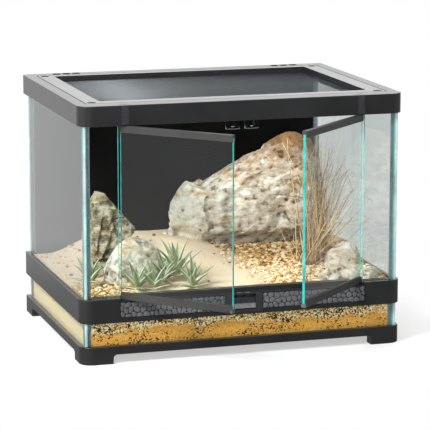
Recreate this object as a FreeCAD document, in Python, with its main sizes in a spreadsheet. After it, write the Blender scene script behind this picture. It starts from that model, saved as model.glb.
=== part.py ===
import FreeCAD, Part
import math
import os
import re
import Sketcher

# A furnished glass terrarium: two glass doors, a latch, a screen lid, cable inlets and a dry landscape.
# Millimetres. Origin on the floor under the middle of the cabinet, +X right, +Y back, +Z up.

SIZES = {
    # Cabinet
    "overall_width": 600.0,
    "overall_depth": 450.0,
    "overall_height": 460.0,
    "front_corner_radius": 23.0,
    "rear_corner_radius": 4.0,
    "edge_round": 1.2,
    "frame_wall": 8.0,
    "front_wall": 10.0,
    "glass_thickness": 5.0,
    "seat_gap": 0.2,
    "cut_past": 2.0,
    # Base frame
    "base_height": 32.0,
    "foot_height": 17.0,
    "foot_length": 58.0,
    "foot_side_length": 52.0,
    "arch_radius": 7.0,
    "ledge_width": 22.0,
    "ledge_thickness": 5.0,
    # Belt with its door sill
    "belt_bottom": 74.0,
    "belt_height": 43.5,
    "ledge_drop": 5.0,
    "sill_thickness": 20.5,
    "sill_depth": 29.0,
    "ridge_height": 2.5,
    "ridge_gap": 0.5,
    "ridge_end_gap": 13.0,
    "hinge_swing": 11.0,
    # Patterned vent panels
    "vent_bezel_gap": 1.5,
    "vent_past_door": 1.5,
    "vent_margin": 1.5,
    "vent_height": 29.0,
    "vent_depth": 3.0,
    "vent_gap": 0.3,
    # Latch
    "bezel_half": 33.0,
    "bezel_height": 34.5,
    "bezel_thickness": 3.9,
    "window_half": 21.5,
    "window_margin": 2.0,
    "window_height": 27.5,
    "latch_half": 24.0,
    "latch_height": 24.3,
    "latch_roof": 4.0,
    "latch_thickness": 3.8,
    "latch_gap": 0.2,
    "latch_travel": 4.0,
    "lip_half": 20.5,
    "lip_drop": 11.0,
    "lip_height": 8.5,
    "lip_stand": 0.6,
    "tongue_inner": 3.5,
    "tongue_width": 8.0,
    "tongue_thickness": 2.5,
    "tongue_gap": 0.3,
    # Top frame
    "top_frame_height": 36.0,
    "rim_height": 12.0,
    "rim_side": 20.0,
    "rim_front": 34.0,
    "rim_rear": 27.0,
    "lid_ledge_width": 8.0,
    "lid_ledge_thickness": 4.0,
    "stop_inner": 5.0,
    "stop_width": 25.0,
    "stop_thickness": 6.5,
    "stop_front_gap": 1.0,
    "stop_drop": 17.0,
    "stop_rise": 15.0,
    "stop_bend": 0.8,
    "stop_slot_width": 7.0,
    "stop_slot_low": 4.0,
    "stop_slot_high": 2.0,
    # Doors
    "strip_width": 59.0,
    "hinge_inset": 9.0,
    "hinge_overhang": 7.0,
    "hinge_side_gap": 3.0,
    "door_gap": 2.0,
    "door_top_gap": 0.7,
    "door_bottom_gap": 0.8,
    "door_glass_thickness": 5.0,
    "rail_thickness": 9.0,
    "rail_web": 6.0,
    "rail_chamfer": 0.8,
    "top_rail_height": 12.0,
    "bottom_rail_height": 13.0,
    "channel_gap": 0.1,
    "left_door_opening": 46.0,
    "right_door_opening": 43.9,
    "strike_length": 14.0,
    "strike_cap": 3.5,
    "strike_plate": 1.2,
    # Hinge pins and their releases
    "pin_radius": 2.5,
    "pin_clearance": 0.06,
    "pin_press_gap": 0.02,
    "pin_reach": 4.5,
    "socket_depth": 5.0,
    "pin_seat": 10.0,
    "release_width": 13.0,
    "release_back_width": 15.0,
    "release_neck": 4.0,
    "release_pin_wall": 4.0,
    "release_floor": 3.0,
    "release_gap": 0.2,
    "release_wall": 2.0,
    "release_rib_height": 1.6,
    "release_rib_pitch": 5.5,
    "release_rib_stand": 0.5,
    "release_rib_top": 5.0,
    # Screen lid and its corner locks
    "lid_gap": 0.3,
    "lid_side_rail": 30.7,
    "lid_front_rail": 25.7,
    "lid_rear_rail": 17.7,
    "mesh_overlap": 6.0,
    "mesh_thickness": 1.0,
    "mesh_bar": 5.0,
    "lock_inset": 6.0,
    "lock_clearance": 0.08,
    "lock_head_radius": 8.0,
    "lock_head_height": 4.0,
    "lock_stem_radius": 3.5,
    "lock_tongue_length": 12.0,
    "lock_tongue_height": 3.6,
    "lock_tongue_gap": 0.3,
    "lock_slot_length": 12.0,
    "lock_slot_width": 2.4,
    "lock_slot_depth": 1.5,
    # Cable inlets in the rear rim
    "inlet_side_gap": 63.0,
    "inlet_pitch": 19.0,
    "inlet_setback": 5.5,
    "inlet_hole_margin": 1.0,
    "inlet_hole_width": 10.0,
    "inlet_hole_length": 7.0,
    "inlet_travel": 8.0,
    "shutter_width": 14.0,
    "shutter_length": 8.8,
    "shutter_thickness": 2.2,
    "shutter_gap": 0.3,
    "shutter_lift": 0.1,
    "shutter_rib": 0.7,
    # Seals, background and sand
    "seal_leg": 8.0,
    "background_thickness": 3.0,
    "background_top_gap": 4.0,
    "sand_gap": 0.4,
    "sand_front_rise": 15.0,
    "sand_middle_rise": 37.0,
    "sand_middle_inset": 195.0,
    "sand_back_rise": 50.0,
    # Places of the stones and plants, from the nearest glass
    "large_rock_side_gap": 10.0,
    "large_rock_back_gap": 4.0,
    "slab_side_gap": 41.0,
    "slab_inset": 205.0,
    "boulder_side_gap": 57.0,
    "boulder_inset": 140.0,
    "right_rock_side_gap": 12.0,
    "right_rock_inset": 133.0,
    "pebble_side_gap": 8.0,
    "pebble_inset": 34.0,
    "succulent_side_gap": 106.0,
    "succulent_inset": 48.0,
    "small_plant_side_gap": 32.0,
    "small_plant_inset": 112.0,
    "grass_side_gap": 112.0,
    "grass_inset": 168.0,
    "succulent_core": 7.2,
    "leaf_width": 10.0,
    "leaf_thickness": 2.4,
    "blade_width": 1.5,
}

INLETS_PER_SIDE = 3
RELEASE_RIBS = 3
MESH_COLUMNS = 12
MESH_ROWS = 12
LEFT_SIDE = -1
RIGHT_SIDE = 1
SIDE_NAMES = {LEFT_SIDE: "left", RIGHT_SIDE: "right"}
TINY = 0.01

# Places worked out from the sizes
LEFT = "-overall_width / 2"
RIGHT = "overall_width / 2"
FRONT = "-overall_depth / 2"
REAR = "overall_depth / 2"
SIDE_OUT = "(overall_width / 2 - frame_wall)"
SIDE_IN = "(overall_width / 2 - frame_wall - glass_thickness)"
FRONT_OUT = "(front_wall - overall_depth / 2)"
FRONT_IN = "(front_wall + glass_thickness - overall_depth / 2)"
REAR_OUT = "(overall_depth / 2 - frame_wall)"
REAR_IN = "(overall_depth / 2 - frame_wall - glass_thickness)"
LEDGE_TOP = "(foot_height + ledge_thickness)"
FLOOR_TOP = "(foot_height + ledge_thickness + glass_thickness)"
TOP_FRAME_BOTTOM = "(overall_height - top_frame_height)"
RIM_FLOOR = "(overall_height - rim_height)"
LID_LEDGE_BOTTOM = "(overall_height - rim_height - lid_ledge_thickness)"
PANE_TOP = f"({LID_LEDGE_BOTTOM} - seat_gap)"
BELT_TOP = "(belt_bottom + belt_height)"
BELT_LEDGE = "(belt_bottom + belt_height - ledge_drop)"
SILL_BOTTOM = "(belt_bottom + belt_height - sill_thickness)"
SILL_TOP = "(belt_bottom + belt_height + ridge_height)"
STRIP_EDGE = f"({SIDE_IN} - strip_width)"
HINGE_X = f"({STRIP_EDGE} - hinge_side_gap - hinge_overhang)"
HINGE_Y = "(hinge_inset - overall_depth / 2)"
DOOR_REACH = f"({HINGE_X} - door_gap / 2)"
DOOR_TOP = f"({TOP_FRAME_BOTTOM} - door_top_gap)"
DOOR_BOTTOM = f"({BELT_LEDGE} + door_bottom_gap)"
SILL_BACK = "(sill_depth - overall_depth / 2)"
LATCH_FRONT = "(bezel_thickness + latch_gap - overall_depth / 2)"
LATCH_BACK = f"({LATCH_FRONT} + latch_thickness)"
LATCH_HIGH = f"({BELT_LEDGE} - latch_roof - latch_travel)"
LATCH_LOW = f"({LATCH_HIGH} - latch_height)"
VENT_INNER = "(bezel_half + vent_bezel_gap)"
VENT_OUTER = f"({STRIP_EDGE} + vent_past_door)"
VENT_HIGH = f"({BELT_LEDGE} - vent_margin)"
VENT_LOW = f"({VENT_HIGH} - vent_height)"
RELEASE_BACK = f"({HINGE_Y} + release_pin_wall)"
LID_HALF = "(overall_width / 2 - rim_side - lid_gap)"
LID_FRONT = "(rim_front + lid_gap - overall_depth / 2)"
LID_REAR = "(overall_depth / 2 - rim_rear - lid_gap)"
SAND_FRONT = f"({SILL_BACK} + sand_gap)"
BACKGROUND_FRONT = f"({REAR_IN} - seat_gap - background_thickness)"
SAND_BACK = f"({BACKGROUND_FRONT} - sand_gap)"
SAND_SIDE = f"({SIDE_IN} - sand_gap)"
SAND_STEP = f"({SILL_BOTTOM} - sand_gap)"

doc = FreeCAD.newDocument("Terrarium")
sheet = doc.addObject("Spreadsheet::Sheet", "Sizes")
for row, (word, number) in enumerate(SIZES.items(), start=1):
    sheet.set(f"A{row}", word)
    sheet.set(f"B{row}", str(number))
    sheet.setAlias(f"B{row}", word)
doc.recompute()

WORD = re.compile(r"[a-z_]{2,}")
sub_parts = []


def size(word):
    """A size, read back from the sheet."""
    return float(sheet.get(word))


def bind(item, prop, formula):
    """Ties a property to a formula written in the sheet's words."""
    item.setExpression(prop, WORD.sub(lambda found: f"Sizes.{found.group()}", formula))


def sub_part(kind, label):
    item = doc.addObject(kind, label)
    item.Label = label
    sub_parts.append(item)
    return item


def mirrored(side, low, high):
    """A span given on the right, or its mirror image on the left."""
    return (low, high) if side == RIGHT_SIDE else (f"-({high})", f"-({low})")


def centred(half):
    return f"-({half})", f"({half})"


def place_box(item, *spans):
    """Sizes and places a box from its spans along X, Y and Z."""
    for axis, edge, (low, high) in zip("xyz", ("Length", "Width", "Height"), spans):
        bind(item, edge, f"({high}) - ({low})")
        bind(item, f"Placement.Base.{axis}", low)


def box(label, *spans):
    item = sub_part("Part::Box", label)
    place_box(item, *spans)
    return item


def add_box(body, *spans):
    place_box(body.newObject("PartDesign::AdditiveBox", "Block"), *spans)


def cut_box(body, *spans):
    place_box(body.newObject("PartDesign::SubtractiveBox", "Cut"), *spans)


def round_bar(body, kind, radius, low, high, place=("0", "0")):
    """An upright round bar or bore between two heights."""
    item = body.newObject(kind, "Round")
    bind(item, "Radius", radius)
    bind(item, "Height", f"({high}) - ({low})")
    for axis, start in zip("xyz", (*place, low)):
        bind(item, f"Placement.Base.{axis}", start)


def add_bar(body, radius, low, high, place=("0", "0")):
    round_bar(body, "PartDesign::AdditiveCylinder", radius, low, high, place)


def cut_bore(body, radius, low, high, place=("0", "0")):
    round_bar(body, "PartDesign::SubtractiveCylinder", radius, low, high, place)


def dress_edges(body, kind, prop, amount, chosen):
    """Rounds or chamfers the edges of a body that a test picks."""
    doc.recompute()
    base = body.Tip
    names = [f"Edge{place}" for place, edge in enumerate(base.Shape.Edges, start=1) if chosen(edge)]
    dress = body.newObject(kind, "Dress")
    dress.Base = (base, names)
    bind(dress, prop, amount)


def round_edges(body, radius, chosen):
    dress_edges(body, "PartDesign::Fillet", "Radius", radius, chosen)


def chamfer_edges(body, amount, chosen):
    dress_edges(body, "PartDesign::Chamfer", "Size", amount, chosen)


def upright(edge):
    bounds = edge.BoundBox
    return bounds.XLength < TINY and bounds.YLength < TINY


def level(edge):
    return edge.BoundBox.ZLength < TINY


def profile_pad(body, corners, start, length):
    """Pads a closed profile, drawn in Y and Z, along X."""
    plane = next(item for item in body.Origin.OriginFeatures if item.Role == "YZ_Plane")
    sketch = body.newObject("Sketcher::SketchObject", "Profile")
    sketch.AttachmentSupport = [(plane, "")]
    sketch.MapMode = "FlatFace"
    bind(sketch, "AttachmentOffset.Base.z", start)
    count = len(corners)
    turn = 2 * math.pi / count
    rough = [FreeCAD.Vector(math.cos(turn * place), math.sin(turn * place), 0) for place in range(count)]
    for place in range(count):
        sketch.addGeometry(Part.LineSegment(rough[place], rough[(place + 1) % count]))
    for place in range(count):
        sketch.addConstraint(Sketcher.Constraint("Coincident", place, 2, (place + 1) % count, 1))
    for place, corner in enumerate(corners):
        for kind, formula, first in zip(("DistanceX", "DistanceY"), corner, (rough[place].x, rough[place].y)):
            row = sketch.addConstraint(Sketcher.Constraint(kind, -1, 1, place, 1, first))
            bind(sketch, f"Constraints[{row}]", formula)
    pad = body.newObject("PartDesign::Pad", "Pad")
    pad.Profile = sketch
    bind(pad, "Length", length)


def free_shape(name, shape):
    """A piece with a free form, placed later by formulas."""
    item = doc.addObject("Part::Feature", name)
    item.Shape = shape
    return item


def put(item, *places):
    for axis, place in zip("xyz", places):
        bind(item, f"Placement.Base.{axis}", place)


# Frames


def frame_block(label, low, high):
    """A block of the cabinet's outline, rounded at its corners and edges."""
    body = sub_part("PartDesign::Body", label)
    add_box(body, (LEFT, RIGHT), (FRONT, REAR), (low, high))
    round_edges(body, "front_corner_radius", lambda edge: upright(edge) and edge.CenterOfMass.y < 0)
    round_edges(body, "rear_corner_radius", lambda edge: upright(edge) and edge.CenterOfMass.y > 0)
    round_edges(body, "edge_round", level)
    return body


def cut_glass_space(body, low, high):
    """The space that the panes stand in."""
    depth = (f"{FRONT_OUT} - seat_gap", f"{REAR_OUT} + seat_gap")
    cut_box(body, centred(f"{SIDE_OUT} + seat_gap"), depth, (low, high))


def make_base_frame():
    body = frame_block("base_frame", "0", "base_height")
    cut_glass_space(body, LEDGE_TOP, "base_height + cut_past")
    opening = (centred("overall_width / 2 - ledge_width"), centred("overall_depth / 2 - ledge_width"))
    cut_box(body, *opening, ("-cut_past", f"{LEDGE_TOP} + cut_past"))
    arch = ("-cut_past", "foot_height")
    between_front_feet = centred("overall_width / 2 - foot_length")
    cut_box(body, between_front_feet, centred("overall_depth / 2 + cut_past"), arch)
    between_side_feet = centred("overall_depth / 2 - foot_side_length")
    cut_box(body, centred("overall_width / 2 + cut_past"), between_side_feet, arch)
    arch_x = size("overall_width") / 2 - size("foot_length")
    arch_y = size("overall_depth") / 2 - size("foot_side_length")

    def arch_corner(edge):
        middle = edge.CenterOfMass
        on_end = abs(abs(middle.x) - arch_x) < TINY or abs(abs(middle.y) - arch_y) < TINY
        return level(edge) and abs(middle.z - size("foot_height")) < TINY and on_end

    round_edges(body, "arch_radius", arch_corner)


def make_belt():
    body = frame_block("mid_belt", "belt_bottom", BELT_TOP)
    cut_glass_space(body, "belt_bottom - cut_past", f"{BELT_TOP} + cut_past")
    sill_depth = (f"{FRONT} + front_wall / 2", SILL_BACK)
    add_box(body, centred(f"{SIDE_IN} - seat_gap"), sill_depth, (SILL_BOTTOM, BELT_TOP))
    ridge_front = f"{HINGE_Y} + rail_thickness / 2 + ridge_gap"
    ridge_half = f"{HINGE_X} - ridge_end_gap"
    add_box(body, centred(ridge_half), (ridge_front, SILL_BACK), (SILL_BOTTOM, SILL_TOP))
    above_ledge = (BELT_LEDGE, f"{SILL_TOP} + cut_past")
    cut_box(body, centred(STRIP_EDGE), (f"{FRONT} - cut_past", ridge_front), above_ledge)
    for side in (LEFT_SIDE, RIGHT_SIDE):
        swing = (f"{FRONT} - cut_past", f"{HINGE_Y} + hinge_swing")
        cut_box(body, mirrored(side, ridge_half, STRIP_EDGE), swing, above_ledge)
        strip_depth = (f"{FRONT_OUT} - seat_gap", f"{FRONT_IN} + seat_gap")
        cut_box(body, mirrored(side, f"{STRIP_EDGE} - seat_gap", SIDE_IN), strip_depth, above_ledge)
        vent_depth = (f"{FRONT} - cut_past", f"{FRONT} + vent_depth")
        cut_box(body, mirrored(side, VENT_INNER, VENT_OUTER), vent_depth, (VENT_LOW, VENT_HIGH))
        tongue = mirrored(side, "tongue_inner - tongue_gap", "tongue_inner + tongue_width + tongue_gap")
        tongue_depth = (f"{LATCH_BACK} - tongue_thickness - tongue_gap", f"{LATCH_BACK} + tongue_gap")
        cut_box(body, tongue, tongue_depth, (LATCH_HIGH, f"{BELT_LEDGE} + cut_past"))
        bore = (f"{BELT_LEDGE} - pin_seat", f"{BELT_LEDGE} + cut_past")
        pin_place = (f"{side} * {HINGE_X}", HINGE_Y)
        cut_bore(body, "pin_radius + pin_press_gap", *bore, pin_place)
    bezel = (f"{FRONT} - cut_past", LATCH_FRONT)
    bezel_height = (f"{BELT_LEDGE} - bezel_height", f"{BELT_LEDGE} + cut_past")
    cut_box(body, centred("bezel_half + seat_gap"), bezel, bezel_height)
    latch_room = (f"{LATCH_LOW} - latch_gap", f"{LATCH_HIGH} + latch_travel + latch_gap")
    latch_depth = (f"{LATCH_FRONT} - latch_gap", f"{LATCH_BACK} + latch_gap")
    cut_box(body, centred("latch_half + latch_gap"), latch_depth, latch_room)


def inlet_middle(place):
    """An inlet's place across the right half of the rear rim."""
    return f"(overall_width / 2 - inlet_side_gap - {INLETS_PER_SIDE - 1 - place} * inlet_pitch)"


def cut_inlets(body):
    """Holes in the rear rim, each with a recess that its shutter slides in."""
    start = "(overall_depth / 2 - rim_rear + inlet_setback)"
    recess_end = f"{start} + shutter_length + inlet_travel + 2 * shutter_gap"
    shelf = "(overall_height - shutter_thickness - shutter_rib - shutter_lift)"
    for side in (LEFT_SIDE, RIGHT_SIDE):
        for place in range(INLETS_PER_SIDE):
            middle = inlet_middle(place)
            recess_half = "(shutter_width / 2 + shutter_gap)"
            recess = mirrored(side, f"{middle} - {recess_half}", f"{middle} + {recess_half}")
            cut_box(body, recess, (start, recess_end), (shelf, "overall_height + cut_past"))
            hole = mirrored(side, f"{middle} - inlet_hole_width / 2", f"{middle} + inlet_hole_width / 2")
            hole_start = f"{start} + inlet_hole_margin"
            hole_depth = (hole_start, f"{hole_start} + inlet_hole_length")
            cut_box(body, hole, hole_depth, (f"{LID_LEDGE_BOTTOM} - cut_past", f"{shelf} + cut_past"))


def make_top_frame():
    body = frame_block("top_frame", TOP_FRAME_BOTTOM, "overall_height")
    cut_glass_space(body, f"{TOP_FRAME_BOTTOM} - cut_past", LID_LEDGE_BOTTOM)
    ledge_x = centred("overall_width / 2 - rim_side - lid_ledge_width")
    ledge_y = (f"{FRONT} + rim_front + lid_ledge_width", f"{REAR} - rim_rear - lid_ledge_width")
    cut_box(body, ledge_x, ledge_y, (f"{LID_LEDGE_BOTTOM} - cut_past", f"{RIM_FLOOR} + cut_past"))
    rim_y = (f"{FRONT} + rim_front", f"{REAR} - rim_rear")
    cut_box(body, centred("overall_width / 2 - rim_side"), rim_y, (RIM_FLOOR, "overall_height + cut_past"))
    for side in (LEFT_SIDE, RIGHT_SIDE):
        pin_place = (f"{side} * {HINGE_X}", HINGE_Y)
        boss_half = "(release_back_width / 2 + release_gap + release_wall)"
        boss = mirrored(side, f"{HINGE_X} - {boss_half}", f"{HINGE_X} + {boss_half}")
        boss_depth = (f"{FRONT} + front_wall / 2", f"{RELEASE_BACK} + release_gap + release_wall")
        add_box(body, boss, boss_depth, (TOP_FRAME_BOTTOM, f"{LID_LEDGE_BOTTOM} + lid_ledge_thickness / 2"))
        slot_height = (f"{TOP_FRAME_BOTTOM} + release_floor", "overall_height + cut_past")
        neck_half = "(release_width / 2 + release_gap)"
        neck = mirrored(side, f"{HINGE_X} - {neck_half}", f"{HINGE_X} + {neck_half}")
        cut_box(body, neck, (f"{FRONT} - cut_past", RELEASE_BACK), slot_height)
        back_half = "(release_back_width / 2 + release_gap)"
        back = mirrored(side, f"{HINGE_X} - {back_half}", f"{HINGE_X} + {back_half}")
        back_depth = (f"{FRONT} + release_neck", f"{RELEASE_BACK} + release_gap")
        cut_box(body, back, back_depth, slot_height)
        bore = (f"{TOP_FRAME_BOTTOM} - cut_past", f"{TOP_FRAME_BOTTOM} + release_floor + cut_past")
        cut_bore(body, "pin_radius + pin_clearance", *bore, pin_place)
    cut_inlets(body)


def make_door_stops():
    """Clear clips that hang behind the top edge of the closed doors."""
    door_back = f"{HINGE_Y} + rail_thickness / 2"
    back = f"{door_back} + stop_front_gap + stop_thickness"
    for side, name in SIDE_NAMES.items():
        body = sub_part("PartDesign::Body", f"door_stop_{name}")
        across = mirrored(side, "stop_inner", "stop_inner + stop_width")
        low = f"{TOP_FRAME_BOTTOM} - stop_drop"
        bend = f"{TOP_FRAME_BOTTOM} + stop_bend"
        add_box(body, across, (f"{door_back} + stop_front_gap", back), (low, f"{TOP_FRAME_BOTTOM} + stop_rise"))
        add_box(body, across, (f"{FRONT_OUT} - seat_gap", back), (bend, f"{TOP_FRAME_BOTTOM} + stop_rise"))
        slot_middle = "(stop_inner + stop_width / 2)"
        slot = mirrored(side, f"{slot_middle} - stop_slot_width / 2", f"{slot_middle} + stop_slot_width / 2")
        slot_height = (f"{low} + stop_slot_low", f"{bend} - stop_slot_high")
        cut_box(body, slot, (f"{FRONT_OUT} - cut_past", f"{back} + cut_past"), slot_height)


# Glass, seals and background


def make_glass():
    upright_span = (LEDGE_TOP, PANE_TOP)
    between = centred(f"{SIDE_IN} - seat_gap")
    front = (FRONT_OUT, FRONT_IN)
    for side, name in SIDE_NAMES.items():
        box(f"{name}_glass", mirrored(side, SIDE_IN, SIDE_OUT), (FRONT_OUT, REAR_OUT), upright_span)
        strip = mirrored(side, STRIP_EDGE, f"{SIDE_IN} - seat_gap")
        box(f"front_strip_{name}", strip, front, (BELT_LEDGE, PANE_TOP))
    box("back_glass", between, (REAR_IN, REAR_OUT), upright_span)
    box("front_lower_glass", between, front, (LEDGE_TOP, f"{SILL_BOTTOM} - seat_gap"))
    box("bottom_glass", between, (f"{FRONT_IN} + seat_gap", f"{REAR_IN} - seat_gap"), (LEDGE_TOP, FLOOR_TOP))


def make_background():
    across = centred(f"{SIDE_IN} - seal_leg - seat_gap")
    height = (FLOOR_TOP, f"{PANE_TOP} - background_top_gap")
    box("background_panel", across, (BACKGROUND_FRONT, f"{REAR_IN} - seat_gap"), height)


def make_seals():
    """Silicone beads in the upright corners, a triangle in section."""
    leg = size("seal_leg")
    gap = size("seat_gap")
    side_in = size("overall_width") / 2 - size("frame_wall") - size("glass_thickness")
    front_in = size("front_wall") + size("glass_thickness") - size("overall_depth") / 2
    rear_in = size("overall_depth") / 2 - size("frame_wall") - size("glass_thickness")
    floor_top = size("foot_height") + size("ledge_thickness") + size("glass_thickness")
    pane_top = size("overall_height") - size("rim_height") - size("lid_ledge_thickness") - gap
    belt_top = size("belt_bottom") + size("belt_height")
    front_spans = ((floor_top, belt_top - size("sill_thickness") - gap), (belt_top, pane_top))
    beads = []
    for corner_y, inward, spans in ((front_in, 1, front_spans), (rear_in, -1, ((floor_top, pane_top),))):
        for side in (LEFT_SIDE, RIGHT_SIDE):
            for low, high in spans:
                corner = FreeCAD.Vector(side * side_in, corner_y, low)
                along = corner + FreeCAD.Vector(-side * leg, 0, 0)
                behind = corner + FreeCAD.Vector(0, inward * leg, 0)
                face = Part.Face(Part.makePolygon([corner, along, behind, corner]))
                beads.append(face.extrude(FreeCAD.Vector(0, 0, high - low)))
    item = sub_part("Part::Feature", "corner_seals")
    item.Shape = Part.makeCompound(beads)


# Vents and latch


def make_vents():
    for side, name in SIDE_NAMES.items():
        across = mirrored(side, f"{VENT_INNER} + vent_gap", f"{VENT_OUTER} - vent_gap")
        depth = (f"{FRONT} + vent_gap", f"{FRONT} + vent_depth")
        box(f"vent_panel_{name}", across, depth, (f"{VENT_LOW} + vent_gap", f"{VENT_HIGH} - vent_gap"))


def make_latch():
    bezel = sub_part("PartDesign::Body", "latch_bezel")
    bezel_depth = (FRONT, f"{FRONT} + bezel_thickness")
    bezel_height = (f"{BELT_LEDGE} - bezel_height + seat_gap", f"{BELT_LEDGE} - seat_gap")
    add_box(bezel, centred("bezel_half"), bezel_depth, bezel_height)
    window_depth = (f"{FRONT} - cut_past", f"{FRONT} + bezel_thickness + cut_past")
    window_top = f"{BELT_LEDGE} - window_margin"
    cut_box(bezel, centred("window_half"), window_depth, (f"{window_top} - window_height", window_top))
    latch = sub_part("PartDesign::Body", "latch_slider")
    add_box(latch, centred("latch_half"), (LATCH_FRONT, LATCH_BACK), (LATCH_LOW, LATCH_HIGH))
    lip_top = f"{LATCH_HIGH} - lip_drop"
    lip_depth = (f"{FRONT} - lip_stand", LATCH_BACK)
    add_box(latch, centred("lip_half"), lip_depth, (f"{lip_top} - lip_height", lip_top))
    for side in (LEFT_SIDE, RIGHT_SIDE):
        tongue = mirrored(side, "tongue_inner", "tongue_inner + tongue_width")
        depth = (f"{LATCH_BACK} - tongue_thickness", LATCH_BACK)
        add_box(latch, tongue, depth, (LATCH_LOW, f"{BELT_LEDGE} - tongue_gap"))


# Doors, hinge pins and releases


def hinged(body, side, opening):
    """Puts a door piece, drawn closed about its hinge, at its resting angle."""
    body.Placement.Rotation = FreeCAD.Rotation(FreeCAD.Vector(0, 0, 1), 0)
    put(body, f"{side} * {HINGE_X}", HINGE_Y, "0")
    bind(body, "Placement.Rotation.Angle", f"{side} * {opening}")


def rail_profile(edge, inward, height):
    """A channel section with its web at the door's edge and its mouth towards the glass."""
    half = "rail_thickness / 2"
    mouth = "(door_glass_thickness / 2 + channel_gap)"
    web = f"{edge} + {inward} * rail_web"
    tip = f"{edge} + {inward} * {height}"
    shoulder = f"{edge} + {inward} * rail_chamfer"
    return [
        (f"-{half} + rail_chamfer", edge),
        (f"{half} - rail_chamfer", edge),
        (half, shoulder),
        (half, tip),
        (mouth, tip),
        (mouth, web),
        (f"-{mouth}", web),
        (f"-{mouth}", tip),
        (f"-{half}", tip),
        (f"-{half}", shoulder),
    ]


def make_door(side, opening):
    """One door: its glass, two rails and the strike that the latch holds."""
    name = SIDE_NAMES[side]
    across = mirrored(-side, "-hinge_overhang", DOOR_REACH)
    length = f"hinge_overhang + {DOOR_REACH}"

    glass = sub_part("PartDesign::Body", f"{name}_door_glass")
    glass_height = (f"{DOOR_BOTTOM} + rail_web + channel_gap", f"{DOOR_TOP} - rail_web - channel_gap")
    add_box(glass, across, centred("door_glass_thickness / 2"), glass_height)
    hinged(glass, side, opening)

    top_rail = sub_part("PartDesign::Body", f"{name}_door_top_rail")
    profile_pad(top_rail, rail_profile(DOOR_TOP, -1, "top_rail_height"), across[0], length)
    cut_bore(top_rail, "pin_radius + pin_clearance", f"{DOOR_TOP} - socket_depth", f"{DOOR_TOP} + cut_past")
    hinged(top_rail, side, opening)

    bottom_rail = sub_part("PartDesign::Body", f"{name}_door_bottom_rail")
    profile_pad(bottom_rail, rail_profile(DOOR_BOTTOM, 1, "bottom_rail_height"), across[0], length)
    below = f"{DOOR_BOTTOM} - cut_past"
    cut_bore(bottom_rail, "pin_radius + pin_clearance", below, f"{DOOR_BOTTOM} + socket_depth")
    cap = mirrored(-side, f"{DOOR_REACH} - strike_cap", f"{DOOR_REACH} + cut_past")
    cut_box(bottom_rail, cap, centred("rail_thickness"), (below, f"{DOOR_BOTTOM} + rail_web"))
    plate = mirrored(-side, f"{DOOR_REACH} - strike_length", f"{DOOR_REACH} - strike_cap + cut_past")
    plate_half = "(rail_thickness / 2 - rail_chamfer)"
    cut_box(bottom_rail, plate, centred(plate_half), (below, f"{DOOR_BOTTOM} + strike_plate"))
    tongue_low = f"({HINGE_X} - tongue_inner - tongue_width - tongue_gap)"
    tongue_high = f"({HINGE_X} - tongue_inner + tongue_gap)"
    pocket = mirrored(-side, tongue_low, tongue_high)
    tongue_back = f"({LATCH_BACK} - {HINGE_Y} + tongue_gap)"
    pocket_depth = (f"{tongue_back} - tongue_thickness - 2 * tongue_gap", tongue_back)
    pocket_height = (below, f"{BELT_LEDGE} + latch_travel + tongue_gap")
    cut_box(bottom_rail, pocket, pocket_depth, pocket_height)
    hinged(bottom_rail, side, opening)

    strike = sub_part("PartDesign::Body", f"{name}_door_strike")
    cap_span = mirrored(-side, f"{DOOR_REACH} - strike_cap", DOOR_REACH)
    add_box(strike, cap_span, centred("rail_thickness / 2"), (DOOR_BOTTOM, f"{DOOR_BOTTOM} + rail_web"))
    plate_span = mirrored(-side, f"{DOOR_REACH} - strike_length", DOOR_REACH)
    add_box(strike, plate_span, centred(plate_half), (DOOR_BOTTOM, f"{DOOR_BOTTOM} + strike_plate"))
    cut_box(strike, pocket, pocket_depth, pocket_height)
    hinged(strike, side, opening)


def make_hinges():
    lower_pins = []
    for side, name in SIDE_NAMES.items():
        place = (f"{side} * {HINGE_X}", HINGE_Y)
        pin = doc.addObject("Part::Cylinder", f"lower_pin_{name}")
        bind(pin, "Radius", "pin_radius")
        bind(pin, "Height", f"pin_seat + {DOOR_BOTTOM} + pin_reach - {BELT_LEDGE}")
        put(pin, *place, f"{BELT_LEDGE} - pin_seat")
        lower_pins.append(pin)

        release = sub_part("PartDesign::Body", f"hinge_release_{name}")
        low = f"{TOP_FRAME_BOTTOM} + release_floor"
        height = (low, "overall_height - release_gap")
        neck = mirrored(side, f"{HINGE_X} - release_width / 2", f"{HINGE_X} + release_width / 2")
        back = mirrored(side, f"{HINGE_X} - release_back_width / 2", f"{HINGE_X} + release_back_width / 2")
        add_box(release, neck, (FRONT, RELEASE_BACK), height)
        add_box(release, back, (f"{FRONT} + release_neck + release_gap", RELEASE_BACK), height)
        for rib in range(RELEASE_RIBS):
            top = f"(overall_height - release_rib_top - {rib} * release_rib_pitch)"
            rib_depth = (f"{FRONT} - release_rib_stand", f"{FRONT} + release_neck")
            add_box(release, neck, rib_depth, (f"{top} - release_rib_height", top))
        cut_bore(release, "pin_radius + pin_press_gap", f"{low} - cut_past", f"{low} + pin_seat", place)

        upper_pin = sub_part("Part::Cylinder", f"hinge_pin_{name}")
        bind(upper_pin, "Radius", "pin_radius")
        bind(upper_pin, "Height", f"({low} + pin_seat) - ({DOOR_TOP} - pin_reach)")
        put(upper_pin, *place, f"{DOOR_TOP} - pin_reach")
    sub_part("Part::Compound", "lower_hinge_pins").Links = lower_pins


# Screen lid


def lock_place(side, front):
    """Where a corner lock turns, just inside the ledge that its tongue holds."""
    across = f"{side} * (overall_width / 2 - rim_side - lid_ledge_width - lock_inset)"
    if front:
        return across, f"{FRONT} + rim_front + lid_ledge_width + lock_inset"
    return across, f"{REAR} - rim_rear - lid_ledge_width - lock_inset"


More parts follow.
